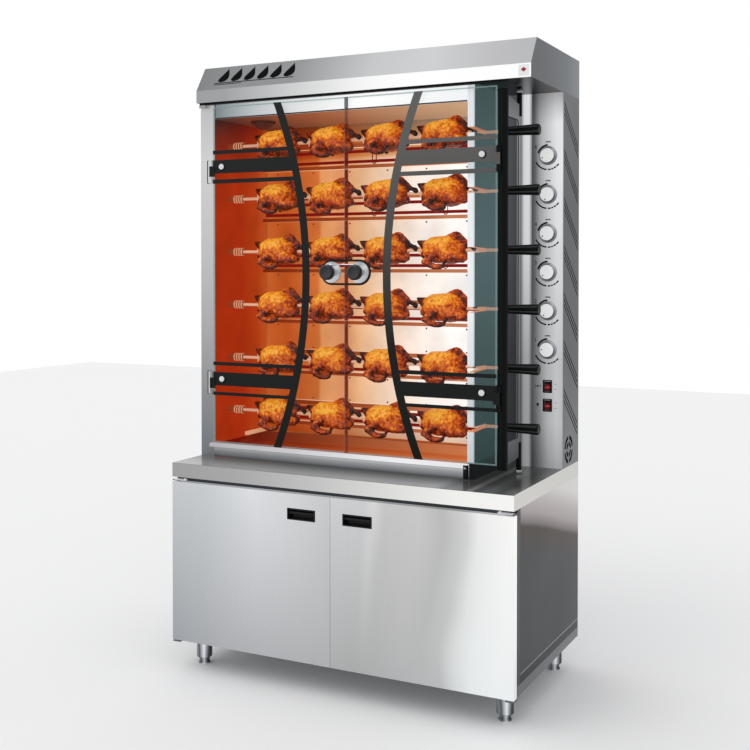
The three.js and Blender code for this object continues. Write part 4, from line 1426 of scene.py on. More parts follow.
        # The joint and the bead take the burners' light painted in, darker towards the top as painted
        # shade.
        joint = HeatedSheet("joint_enamel", one_colour("a8501c", "701c08")).build()
        middle = low.x + self.joint_offset
        shape = Shape().box(
            (middle - 0.006, plate - 0.0012, low.z), (middle + 0.006, plate + 0.0004, high.z - 0.001)
        )
        shape.piece("wall_joint", joint, FIXED_BODY, "hot_enamel", 0.0003)
        bead = HeatedSheet("bead_enamel", one_colour("d8844c", "8a3a1c")).build()
        shape = Shape().box(
            (low.x + 0.0002, plate - 0.0022, low.z), (low.x + 0.0024, plate, high.z - 0.001)
        )
        shape.box(
            (middle + 0.006, plate - 0.0008, low.z), (middle + 0.0085, plate + 0.0004, high.z - 0.001)
        )
        shape.piece("wall_beads", bead, FIXED_BODY, "hot_enamel")
        dark = smooth("header_lip_grey", "3a3b3a", 0.4, 0.3, specular=0.2)
        low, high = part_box("ceiling")
        shape = Shape().box(
            (low.x + 0.002, low.y - 0.0008, low.z), (high.x - 0.002, low.y + 0.0006, low.z + 0.0045)
        )
        shape.piece("header_lip", dark, FIXED_BODY, "dark_steel", 0.0003)

    def build_burner_clips(self) -> None:
        """Makes the U-shaped clips that tie each pair of burner tubes together."""
        red = smooth("clip_red", "8c1208", 0.5, glow=0.5, specular=0.1)
        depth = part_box("burner_bank")[0].y + 0.0005
        half, reach, wire = 0.0075, 0.05, 0.0018
        shape = Shape()
        for z in self.spit_z:
            for x in self.clip_columns:
                path = [Vector((x - half, depth, z - 0.006)), Vector((x - half, depth, z - reach))]
                for step in range(1, 6):
                    angle = math.pi * step / 6
                    path.append(
                        Vector((x - half * math.cos(angle), depth, z - reach - half * math.sin(angle)))
                    )
                path += [Vector((x + half, depth, z - reach)), Vector((x + half, depth, z - 0.006))]
                shape.swept(path, wire, 8)
        shape.piece("burner_clips", red, FIXED_BODY, "burner_steel")

    def build_louvre_shadow(self) -> None:
        """Makes a black panel behind the louvres and the fan grille, as painted shadow."""
        low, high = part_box("tower_casing")
        dark = smooth("shadow_black", "1a1b1c", 0.6, specular=0.1)
        inner = high.x - 0.004
        shape = Shape().box(
            (inner - 0.0015, low.y + 0.005, low.z + 0.004), (inner, high.y - 0.006, high.z - 0.01)
        )
        shape.piece("louvre_shadow", dark, FIXED_BODY, "dark_steel")

    def build_lamp(self) -> None:
        """Makes the round oven lamp with its rim and ribbed glass."""
        low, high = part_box("oven_lamp")
        centre = ((low.x + high.x) / 2, (low.y + high.y) / 2, high.z)
        # The rim's dark red-brown and glow are the burners' light painted in as a reflection.
        chrome = smooth("lamp_rim_steel", "4a221a", 0.4, 0.2, glow=0.5, specular=0.1)
        rim = [
            (0.036, 0.0), (0.0438, 0.0), (0.0438, -0.004), (0.041, -0.007), (0.037, -0.006), (0.036, 0.0)
        ]
        Shape().turned(rim, Axis.Z, centre).piece("lamp_rim", chrome, FIXED_BODY, "spit_steel")
        lit = smooth("lamp_frosted", "5c2c22", 0.3, glow=0.4, specular=0.2)
        bowl = []
        steps = 14
        for step in range(steps + 1):
            angle = math.pi / 2 * step / steps
            ripple = 0.0006 * (step % 2)
            bowl.append(((0.0358 - ripple) * math.sin(angle), -0.029 * math.cos(angle)))
        bowl.append((0.0358, -0.0002))
        bowl.append((0.0, -0.0002))
        Shape().turned(bowl, Axis.Z, centre).piece(
            "lamp_bowl", lit, FIXED_BODY, "lamp_glass", replaces=["oven_lamp"]
        )

    def build(self) -> None:
        """Builds and dresses the oven's body."""
        self.dress_walls()
        self.dress_casing()
        self.build_screws()
        self.build_wall_trim()
        self.build_burner_clips()
        self.build_louvre_shadow()
        self.build_lamp()
        LOG.info("oven body: walls, burners, screws and lamp")


# ---------------------------------------------------------------- hood


@dataclass
class Hood:
    """The sloping hood with a row of plain flame signs and a small badge plate."""

    sign_left: float = -0.535
    sign_pitch: float = 0.052
    signs: int = 6
    flame_height: float = 0.062
    flame_rise: float = 0.03
    slope_depth: float = 0.053
    band_height: float = 0.042

    def dress_sheets(self) -> None:
        """Gives the hood its painted sweep of light from left to right, painted shade on its right side,
        and near-black painted shade on the underside behind its front edge.
        """
        low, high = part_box("hood")
        across = (low.x, high.x)
        slope_stops = (
            (0.0, "7e8082"), (0.1, "86888a"), (0.32, "8f9193"), (0.42, "a5a7a9"), (0.56, "bfc1c3"),
            (0.72, "c6c8c9"), (0.9, "b7b7b9"), (1.0, "b2b3b5"),
        )
        band_stops = (
            (0.0, "9fa0a2"), (0.1, "a1a3a5"), (0.25, "c0c2c3"), (0.4, "dedfdf"), (0.52, "f4f4f4"),
            (0.65, "ffffff"), (1.0, "fdfdfe"),
        )
        side_stops = ((0.0, "505256"), (0.3, "56585c"), (0.7, "606468"), (1.0, "787c7e"))
        # Painted shade: the right side is darker, and the underside behind the front edge is near black.
        zones = (
            Zone(
                ((Axis.Z, (low.z - 0.01, low.z + self.band_height - 0.0002)),),
                Tone(Axis.X, across, band_stops),
            ),
            Zone((at_face(Axis.X, high.x),), Tone(Axis.Y, (low.y, high.y), side_stops)),
            Zone(
                (
                    (Axis.Y, (low.y + 0.0012, high.y)),
                    (Axis.Z, (low.z - 0.01, low.z + self.band_height / 2)),
                    (Axis.X, (low.x, high.x - 0.0005)),
                ),
                plain_tone("0b0b0c"),
            ),
        )
        palette = Palette(Tone(Axis.X, across, slope_stops), zones=zones)
        dress("hood", BrushedSteel("hood_steel", palette, Axis.X, 0.3, depth=0.1, glow=0.55).build())

    def flame(self) -> list[Point]:
        """The outline of one plain flame, about its foot, with x across and y up the slope."""
        height = self.flame_height
        lean = 0.22 * height
        points = []
        steps = 14
        for step in range(steps + 1):
            share = step / steps
            width = 0.36 * height * math.sin(math.pi * share**0.6) * (1 - 0.25 * share)
            points.append((width + lean * share, height * share))
        for step in range(steps - 1, 0, -1):
            share = step / steps
            width = 0.3 * height * math.sin(math.pi * share**0.5) * (1 - 0.5 * share)
            points.append((-width + lean * share * 1.2, height * share))
        return points

    def build_signs(self) -> None:
        """Lays a row of black flames on the slope, with two thin lines under them."""
        low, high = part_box("hood")
        black = smooth("sign_black", "060606", 0.7, specular=0.05)
        foot = Vector((0.0, low.y, low.z + self.band_height))
        top = Vector((0.0, low.y + self.slope_depth, high.z))
        up = (top - foot).normalized()
        out = Vector((0.0, -up.z, up.y))
        shape = Shape()

        def lay(points: Sequence[Point], offset: float) -> None:
            """Adds one flat mark on the slope, from points across and up it."""
            near, far = [], []
            for x, rise in points:
                base = foot + up * (rise + offset)
                base.x = x
                near.append(shape.mesh.verts.new(base + out * 0.1 * MM))
                far.append(shape.mesh.verts.new(base + out * 0.5 * MM))
            shape.mesh.faces.new(near)
            shape.mesh.faces.new(far)
            for step in range(len(points)):
                after = (step + 1) % len(points)
                shape.mesh.faces.new([near[step], near[after], far[after], far[step]])

        for sign in range(self.signs):
            x = self.sign_left + 0.025 + sign * self.sign_pitch
            lay([(x + u, v) for u, v in self.flame()], self.flame_rise)
        right = self.sign_left + self.signs * self.sign_pitch
        for end, rise, height in ((right, 0.0255, 0.0032), (self.sign_left + 0.11, 0.0195, 0.0026)):
            line = [(self.sign_left, 0.0), (end, 0.0), (end, height), (self.sign_left, height)]
            lay(line, rise)
        shape.piece("hood_signs", black, FIXED_BODY, "black_paint")

    def build_badge(self) -> None:
        """Makes the plain badge plate at the band's right end, with a red diamond."""
        low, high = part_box("hood")
        white = smooth("badge_white", "e4e4e6", 0.4, glow=0.4)
        red = smooth("badge_red", "9c1420", 0.4, glow=0.3)
        middle = (high.x - 0.023, low.z + self.band_height / 2)
        half = 0.0165
        outline = rounded(
            (middle[0] - half, middle[0] + half), (middle[1] - half, middle[1] + half), 0.002, 3
        )
        plate = Shape().plate(outline, Axis.Y, (low.y - 0.0012, low.y + 0.0002))
        plate.piece("badge_plate", white, FIXED_BODY, "black_paint", 0.0003)
        diamond = [
            (middle[0] - 0.009, middle[1] + 0.002), (middle[0], middle[1] - 0.005),
            (middle[0] + 0.009, middle[1] + 0.002), (middle[0], middle[1] + 0.009),
        ]
        mark = Shape().plate(diamond, Axis.Y, (low.y - 0.0016, low.y - 0.001))
        mark.piece("badge_mark", red, FIXED_BODY, "red_plastic")

    def build_trim(self) -> None:
        """Makes the dark shadow strip under the hood's front edge and its small end bracket."""
        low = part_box("hood")[0]
        # Painted shadow: a near-black strip under the hood's front edge.
        dark = smooth("hood_shadow_black", "17181a", 0.5, specular=0.1)
        shape = Shape().box((-0.596, low.y + 0.012, low.z - 0.006), (0.52, low.y + 0.026, low.z - 0.0002))
        shape.piece("hood_drip_trim", dark, FIXED_BODY, "black_paint", 0.0008)
        steel = smooth("bracket_steel", "9c9ea1", 0.3, 1.0, glow=0.3)
        bracket = rounded((low.x + 0.002, low.x + 0.03), (low.y + 0.01, low.y + 0.024), 0.005)
        shape = Shape().plate(bracket, Axis.Z, (low.z - 0.016, low.z - 0.0065))
        shape.piece("hood_end_bracket", steel, FIXED_BODY, "spit_steel", 0.001)

    def build(self) -> None:
        """Builds and dresses the hood."""
        self.dress_sheets()
        self.build_signs()
        self.build_badge()
        self.build_trim()
        # In the log line, the trim is the painted shadow strip and the end bracket.
        LOG.info("hood: sheet, flame signs, badge and trim")


# ---------------------------------------------------------------- control tower


@dataclass
class ControlTower:
    """The tower at the right: panel, strip, six dials, their knobs and two rockers."""

    knob_x: float = 0.549
    start_band: Span = (0.0316, 0.0372)
    scale_band: Span = (0.0425, 0.0472)
    tick_band: Span = (0.0425, 0.0468)
    scale_dashes: tuple[tuple[int, int], ...] = ((270, 11), (284, 8), (295, 11), (309, 13))
    tick_degrees: tuple[float, ...] = (81, 85.5, 90, 94.5, 99)
    stroke: float = 0.0006
    numeral_size: float = 0.017
    numeral_offset: Point = (-0.041, 0.03)
    dot_radius: float = 0.0172
    pointer_degrees: tuple[float, ...] = (205, 250, 215, 222, 235, 180)

    def __post_init__(self) -> None:
        """Reads the panel's face from the frame."""
        self.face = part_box("tower_casing")[0].y

    def dress_sheets(self) -> None:
        """Gives the panel its painted sweep of light with painted shade at the bottom and the top, the
        louvred side painted shade, and the insides of the louvres near-black painted shade.
        """
        low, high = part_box("tower_casing")
        across = (low.x, high.x)
        # Painted light: a sweep across the panel, brighter higher up, with painted shade at the bottom and
        # the top, a shaded louvred side, and near-black shade inside the louvres.
        lower_stops = (
            (0.0, "4c4f51"), (0.12, "66696b"), (0.28, "8c8f91"), (0.5, "b8b9bb"), (0.8, "cccdcf"),
            (1.0, "c0c2c3"),
        )
        upper_stops = (
            (0.0, "505254"), (0.1, "6a6c6e"), (0.26, "aeb0b2"), (0.5, "d4d5d6"), (0.75, "f0f0f2"),
            (0.93, "f2f2f4"), (1.0, "d4d6d8"),
        )
        side_stops = (
            (0.0, "585a5d"), (0.2, "46484a"), (0.45, "404244"), (0.75, "424446"), (1.0, "505256")
        )
        shade_stops = ((0.0, "d4d4d4"), (0.12, "ffffff"), (0.92, "ffffff"), (1.0, "b8b8b8"))
        palette = Palette(
            Tone(Axis.X, across, lower_stops, 0.02),
            Tone(Axis.Z, (low.z, high.z), shade_stops),
            Tone(Axis.X, across, upper_stops, 0.02),
            (1.0, 1.65),
            (
                Zone((at_face(Axis.X, high.x),), Tone(Axis.Z, (low.z, high.z), side_stops)),
                Zone(
                    (
                        (Axis.X, (low.x + 0.0008, high.x - 0.0004)),
                        (Axis.Y, (low.y + 0.0012, high.y - 0.001)),
                    ),
                    plain_tone("0e0f10"),
                ),
            ),
        )
        dress("tower_casing", BrushedSteel("tower_steel", palette, roughness=0.3, glow=0.82).build())
        low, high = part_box("tower_strip")
        # Painted light: the strip is dark at its left and bright to the right, darker towards the bottom.
        strip_stops = (
            (0.0, "55585b"), (0.4, "4a4d50"), (0.56, "84868a"), (0.68, "e4e6e8"), (0.88, "eceef0"),
            (1.0, "8b8d8e"),
        )
        height_stops = ((0.0, "a0a0a0"), (0.3, "b0b0b0"), (0.6, "e8e8e8"), (1.0, "f4f4f4"))
        strip = Palette(
            Tone(Axis.X, (low.x, high.x), strip_stops), Tone(Axis.Z, (low.z, high.z), height_stops)
        )
        dress("tower_strip", BrushedSteel("tower_strip_steel", strip, roughness=0.3, glow=0.95).build())

    def knob_centre(self, row: int) -> Vector:
        """Where a knob's shaft meets the panel's face."""
        low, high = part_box(f"control_knob_{row}")
        return Vector((self.knob_x, self.face, (low.z + high.z) / 2))

    def build_knobs(self) -> None:
        """Makes the knobs: a satin skirt and ring with painted reflection bands, and a white face with a
        dot.
        """
        # Painted reflections: light and dark bands round the skirt by where it faces; skirt and face also
        # take a painted glow.
        ring = Bands(
            (-0.5, 0.0, 0.86),
            (
                (0.0, "5a5c5e"), (0.2, "8a8c8e"), (0.4, "d8dadc"), (0.6, "ffffff"), (0.8, "b8babc"),
                (1.0, "e8eaec"),
            ),
        )
        satin = smooth("knob_satin", "b4b6b8", 0.26, 0.9, glow=0.4, bands=ring)
        white = smooth("knob_white", "f6f6f6", 0.4, glow=0.55)
        black = smooth("dot_black", "101010", 0.5, specular=0.1)
        for row in ROWS:
            node = f"control_knob_{row}"
            centre = self.knob_centre(row)
            skirt = [
                (0.0, -0.0215), (0.0039, -0.0215), (0.0039, 0.0006), (0.0298, 0.0006), (0.0308, 0.0014),
                (0.0308, 0.003), (0.0298, 0.0039), (0.0262, 0.0046), (0.0245, 0.0062), (0.0241, 0.012),
                (0.0232, 0.0136), (0.0, 0.0136),
            ]
            body = Shape().turned(skirt, Axis.Y, centre, 56, -1)
            body.piece(f"{node}_skirt", satin, node, "knob_finish", replaces=[node])
            cap = [(0.0, 0.013), (0.0226, 0.013), (0.0226, 0.0137), (0.0218, 0.0141), (0.0, 0.0141)]
            face = Shape().turned(cap, Axis.Y, centre, 56, -1)
            face.piece(f"{node}_face", white, node, "knob_finish")
            angle = math.radians(self.pointer_degrees[row - 1])
            dot = centre + self.dot_radius * Vector((math.cos(angle), 0.0, math.sin(angle)))
            disc = [(0.0, 0.0138), (0.0024, 0.0138), (0.0022, 0.0143), (0.0, 0.0143)]
            mark = Shape().turned(disc, Axis.Y, dot, 16, -1)
            mark.piece(f"{node}_dot", black, node, "black_plastic")

    def band_mark(self, shape: Shape, centre: Vector, radius: Span, start: float, end: float) -> None:
        """Adds one printed arc round a knob, between two radii and two angles in degrees."""
        steps = max(3, int(abs(end - start) / 6))
        middle = (centre.x, centre.z)
        outline = arc(middle, radius[1], start, end, steps) + arc(middle, radius[0], end, start, steps)
        shape.plate(outline, Axis.Y, (self.face - PRINT_DEPTH, self.face + 0.0001))

    def numeral(self, value: int, centre: Vector, finish: Material) -> Mesh:
        """A flat numeral beside a knob.

        Args:
            value: The number.
            centre: The knob's centre on the panel.
            finish: The print's material.

        Returns:
            The numeral's mesh, in place.
        """
        text = bpy.data.curves.new("numeral", "FONT")
        text.body = str(value)
        text.size = self.numeral_size
        text.extrude = PRINT_DEPTH / 2
        text.align_x = "CENTER"
        text.align_y = "CENTER"
        text.resolution_u = 3
        holder = bpy.data.objects.new("numeral", text)
        bpy.context.scene.collection.objects.link(holder)
        graph = bpy.context.evaluated_depsgraph_get()
        mesh = bpy.data.meshes.new_from_object(holder.evaluated_get(graph), depsgraph=graph)
        bpy.data.objects.remove(holder)
        stand = Matrix.Rotation(math.radians(90), 4, "X")
        left, up = self.numeral_offset
        depth = self.face - PRINT_DEPTH / 2
        place = Matrix.Translation((centre.x + left, depth, centre.z + up))
        mesh.transform(place @ stand)
        mesh.materials.clear()
        mesh.materials.append(finish)
        return mesh

    def dab(self, shape: Shape, x: float, z: float, half: Span) -> None:
        """Adds one printed rectangle about a point of the panel, with its half width and height."""
        near = (x - half[0], self.face - PRINT_DEPTH, z - half[1])
        shape.box(near, (x + half[0], self.face + 0.0001, z + half[1]))

    def print_rocker_signs(self, shape: Shape) -> None:
        """Adds a turning-spit sign, a lamp sign and two dashes by each rocker.

        Args:
            shape: The shape that takes the marks.
        """
        depth = (self.face - PRINT_DEPTH, self.face + 0.0001)
        left = self.knob_x - 0.033
        thin = self.stroke
        for row in (1, 2):
            low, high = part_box(f"rocker_switch_{row}")
            middle = (low.z + high.z) / 2
            if row == 1:
                self.dab(shape, left, middle, (0.009, thin))
                self.dab(shape, left - 0.009, middle, (thin, 0.006))
                self.dab(shape, left + 0.009, middle, (thin, 0.006))
                shape.plate(arc((left, middle), 0.0032, 0, 345, 12), Axis.Y, depth)
            else:
                shape.plate(arc((left, middle + 0.002), 0.0042, 0, 345, 12), Axis.Y, depth)
                self.dab(shape, left, middle - 0.0041, (0.002, 0.0019))
                for turn in (-60, -20, 200, 240):
                    angle = math.radians(turn)
                    x, z = left + 0.009 * math.cos(angle), middle + 0.009 * math.sin(angle)
                    self.dab(shape, x, z, (thin, thin))
            for step in (-1, 1):
                self.dab(shape, self.knob_x + 0.027, middle + step * 0.0085, (0.003, 0.0007))

    def build_prints(self) -> None:
        """Prints an arc of settings and a numeral by each knob, and a sign by each rocker."""
        ink = smooth("panel_ink", "0c0c0d", 0.7, specular=0.05)
        shape = Shape()
        for row in ROWS:
            centre = self.knob_centre(row)
            self.band_mark(shape, centre, self.start_band, 92, 165)
            self.band_mark(shape, centre, self.scale_band, 206, 264)
            for dash, width in self.scale_dashes:
                self.band_mark(shape, centre, self.scale_band, dash, dash + width)
            for tick in self.tick_degrees:
                self.band_mark(shape, centre, self.tick_band, tick - 1.7, tick + 1.7)
            mesh = self.numeral(len(ROWS) + 1 - row, centre, ink)
            settle(f"numeral_{len(ROWS) + 1 - row}", mesh, FIXED_BODY)
        self.print_rocker_signs(shape)
        shape.piece("panel_prints", ink, FIXED_BODY, "black_paint")

    def build_rockers(self) -> None:
        """Dresses the rockers in red, with painted shade at the top, the bottom and the sides, a painted
        highlight spot, and a black bezel round each.
        """
        black = smooth("bezel_black", "141416", 0.4, specular=0.15)
        for row in (1, 2):
            node = f"rocker_switch_{row}"
            low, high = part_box(node)
            # Painted light: the red darkens to near black at the top, the bottom and towards the sides,
            # with a highlight across the middle.
            red_stops = (
                (0.0, "200608"), (0.12, "6e0c12"), (0.3, "a8141c"), (0.42, "d86a6a"), (0.5, "a8141c"),
                (0.7, "7c0f14"), (0.8, "1e1012"), (1.0, "141214"),
            )
            edge_stops = (
                (0.0, "201418"), (0.14, "c8c8c8"), (0.5, "ffffff"), (0.86, "c8c8c8"), (1.0, "201418")
            )
            palette = Palette(
                Tone(Axis.Z, (low.z, high.z), red_stops), Tone(Axis.X, (low.x, high.x), edge_stops)
            )
            red = SmoothFinish(f"rocker_red_{row}", palette, 0.3, glow=0.35, specular=0.2)
            dress(node, red.build())
            x, z = (low.x + high.x) / 2, (low.z + high.z) / 2
            outer = rounded((x - 0.0155, x + 0.0155), (z - 0.021, z + 0.021), 0.003)
            inner = rounded((x - 0.0107, x + 0.0107), (z - 0.0178, z + 0.0178), 0.001)
            shape = Shape().plate(outer, Axis.Y, (self.face - 0.0032, self.face + 0.0004), inner)
            shape.piece(f"rocker_bezel_{row}", black, FIXED_BODY, "black_plastic", 0.0005)

    def build(self) -> None:
        """Builds and dresses the tower."""
        self.dress_sheets()
        self.build_knobs()
        self.build_prints()
        self.build_rockers()
        LOG.info("control tower: sheets, knobs, prints and rockers")


# ---------------------------------------------------------------- glass doors and side frame


@dataclass
class GlassDoors:
    """The two glass doors, with their straps, studs, knobs and knob surrounds."""

    meeting: float = -0.027
    knob_offset: float = 0.05
    knob_z: float = 1.325
    stud_rows: Point = (1.684, 0.96)
    stud_columns: Point = (-0.505, 0.441)
    leaf_x: float = -0.5612

    def dress_panes(self) -> None:
        """Gives the panes glass, with a painted dark band where they meet."""
        teal_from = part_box("right_wall")[1].x
        header_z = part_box("ceiling")[0].z
        for side, sign in SIDES.items():
            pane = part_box(f"glass_pane_{side}")
            meeting_x = pane[1].x if sign < 0 else pane[0].x
            rim = 0.0035 if sign < 0 else 0.005
            glass = DoorGlass(
                f"door_glass_{side}", pane, meeting_x, rim, (teal_from, pane[1].x + 0.01), header_z
            )
            dress(f"glass_pane_{side}", glass.build())

    def dress_straps(self) -> None:
        """Gives the straps satin black, lighter where the upper right catches the light."""
        low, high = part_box("door_straps_right")
        left = SmoothFinish("strap_black_left", one_colour("1d1e1e", "282b2a"), 0.6, specular=0.03)
        stops = ((0.0, "1e1f1f"), (0.3, "222323"), (0.6, "4c4d4c"), (0.85, "605f5e"), (1.0, "646463"))
        right = SmoothFinish(
            "strap_black_right", Palette(Tone(Axis.Z, (low.z, high.z), stops)), 0.6, specular=0.03, glow=0.3
        )
        dress("door_straps_left", left.build())
        dress("door_straps_right", right.build())

    def build_knobs(self) -> None:
        """Makes each pull knob: a bright round plate, a neck and a dark dished grip."""
        # Painted reflections: light and dark bands on the plate and the grip by where they face, with a
        # painted glow.
        plate_bands = Bands(
            (-0.75, 0.0, 0.66),
            (
                (0.0, "808386"), (0.3, "e8eaec"), (0.45, "ffffff"), (0.6, "c0c3c6"), (0.8, "f4f6f8"),
                (1.0, "8a8d90"),
            ),
        )
        grip_bands = Bands(
            (-0.6, -0.3, 0.74),
            (
                (0.0, "3c3c3c"), (0.35, "707070"), (0.5, "b8b8b8"), (0.62, "8a8a8a"), (0.8, "ffffff"),
                (1.0, "a0a0a0"),
            ),
        )
        plate_steel = smooth("knob_plate_steel", "d6d8da", 0.2, 1.0, glow=0.4, bands=plate_bands)
        grip_grey = smooth("knob_grip_grey", "55585b", 0.4, 0.3, glow=0.3, specular=0.2, bands=grip_bands)
        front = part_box("glass_pane_left")[0].y
        for side, sign in SIDES.items():
            body = f"{side}_glass_door"
            centre = (self.meeting + sign * self.knob_offset, front, self.knob_z)
            plate = [
                (0.0, 0.0004), (0.034, 0.0004), (0.0349, 0.0014), (0.0349, 0.0052), (0.0335, 0.0068),
                (0.016, 0.0085), (0.0128, 0.011), (0.0128, 0.021), (0.0, 0.021),
            ]
            shape = Shape().turned(plate, Axis.Y, centre, 64, -1)
            shape.piece(f"knob_plate_{side}", plate_steel, body, "pull_knob_finish")
            grip = [
                (0.0, 0.0195), (0.014, 0.0195), (0.0225, 0.0235), (0.0247, 0.0275), (0.0249, 0.0405),
                (0.0238, 0.0448), (0.0205, 0.0472), (0.0178, 0.0468), (0.0, 0.0462),
            ]
            shape = Shape().turned(grip, Axis.Y, centre, 64, -1)
            shape.piece(
                f"knob_grip_{side}", grip_grey, body, "pull_knob_finish", replaces=[f"pull_knob_{side}"]
            )

    def build_surrounds(self) -> None:
        """Makes the dark band that runs round both knobs, one half on each door."""
        black = smooth("surround_black", "1f2021", 0.5, specular=0.05)
        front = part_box("glass_pane_left")[0].y
        inner, outer = 0.0345, 0.0415
        for side, sign in SIDES.items():
            middle = (self.meeting + sign * self.knob_offset, self.knob_z)
            end = self.meeting + sign * 0.0018
            turn = 0 if sign > 0 else 180
            rim = arc(middle, outer, turn - 90, turn + 90, 28)
            hollow = arc(middle, inner, turn + 90, turn - 90, 28)
            outline = [(end, rim[0][1]), *rim, (end, rim[-1][1]), (end, hollow[0][1]), *hollow]
            outline.append((end, hollow[-1][1]))
            shape = Shape().plate(outline, Axis.Y, (front - 0.0013, front - 0.0003))
            shape.piece(f"knob_surround_{side}", black, f"{side}_glass_door", "black_paint", 0.0002)

    def build_latch_rod(self) -> None:
        """Makes the thin bright rod that reaches from the left knob towards the right one."""
        chrome = smooth("latch_rod_chrome", "eceef0", 0.12, 1.0)
        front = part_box("glass_pane_left")[0].y
        depth = front - 0.0105
        height = self.knob_z + 0.0255
        left = self.meeting - self.knob_offset
        right = self.meeting + self.knob_offset - 0.014
        path = [Vector((left + (right - left) * step / 8, depth, height)) for step in range(9)]
        shape = Shape().swept(path, 0.0019)
        shape.box(
            (left - 0.004, depth - 0.002, height - 0.0045), (left + 0.004, front - 0.0062, height + 0.003)
        )
        shape.piece("latch_rod", chrome, "left_glass_door", "spit_steel")

    def build_studs(self) -> None:
        """Makes the chrome studs that clamp each main strap, each with a black disc set off to its lower
        right as painted shadow.
        """
        chrome = smooth("stud_chrome", "d6d7d8", 0.3, 0.6, glow=0.5)
        dark = smooth("stud_shadow_black", "080808", 0.6, specular=0.05)
        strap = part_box("glass_pane_left")[0].y - 0.0015
        head = [
            (0.0, 0.0), (0.0098, 0.0), (0.0098, 0.0022), (0.0088, 0.0036), (0.005, 0.0045), (0.0, 0.0048)
        ]
        shadow_disc = [(0.0, 0.0), (0.0122, 0.0), (0.0118, 0.0011), (0.0, 0.0011)]
        for side, x in zip(SIDES, self.stud_columns):
            points = [(x, strap - 0.0008, z) for z in self.stud_rows]
            pattern = Shape().turned(head, Axis.Y, (0, 0, 0), 28, -1).finished("stud", chrome)
            mesh = AT_POINTS.place(f"studs_{side}", pattern, points)
            settle(f"strap_studs_{side}", mesh, f"{side}_glass_door")
            # Painted shadow: a black disc set off to the lower right of each stud.
            points = [(x + 0.0022, strap, z - 0.0012) for z in self.stud_rows]
            pattern = Shape().turned(shadow_disc, Axis.Y, (0, 0, 0), 28, -1).finished("shadow_disc", dark)
            mesh = AT_POINTS.place(f"washers_{side}", pattern, points)
            settle(f"stud_washers_{side}", mesh, f"{side}_glass_door")

    def build_hinge_leaves(self) -> None:
        """Makes the bright hinge leaves on the left column, each with a dark rim at its left."""
        # Painted reflections: bands round each leaf by where it faces, with a painted glow.
        roll = Bands(
            (1.0, 0.0, 0.0),
            ((0.0, "9a9c9e"), (0.35, "ffffff"), (0.6, "f0f0f0"), (0.85, "a0a2a4"), (1.0, "5c5e60")),
        )
        bright = smooth("hinge_leaf_steel", "dcdee0", 0.25, 0.8, glow=0.5, bands=roll)
        dark = smooth("hinge_rim_black", "303234", 0.5, specular=0.1)
        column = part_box("left_wall")[0].y - 0.0023
        for number, (bottom, top) in enumerate(HINGE_ROWS, start=1):
            outer = rounded((-0.5705, -0.5545), (bottom, top), 0.001, 2)
            shape = Shape().plate(outer, Axis.Y, (column - 0.0055, column - 0.0042))
            shape.piece(f"hinge_rim_{number}", dark, FIXED_BODY, "black_paint")
            profile = [
                (0.0, bottom + 0.002), (0.0052, bottom + 0.002), (0.0052, top - 0.002), (0.0, top - 0.002)
            ]
            shape = Shape().turned(profile, Axis.Z, (self.leaf_x, column - 0.0038, 0.0), 24)
            shape.piece(f"hinge_leaf_{number}", bright, FIXED_BODY, "spit_steel")

    def build(self) -> None:
        """Builds and dresses both doors."""
        self.dress_panes()
        self.dress_straps()
        self.build_knobs()
        self.build_surrounds()
        self.build_latch_rod()
        self.build_studs()
        self.build_hinge_leaves()
        LOG.info("glass doors: panes, straps, knobs, studs and hinges")


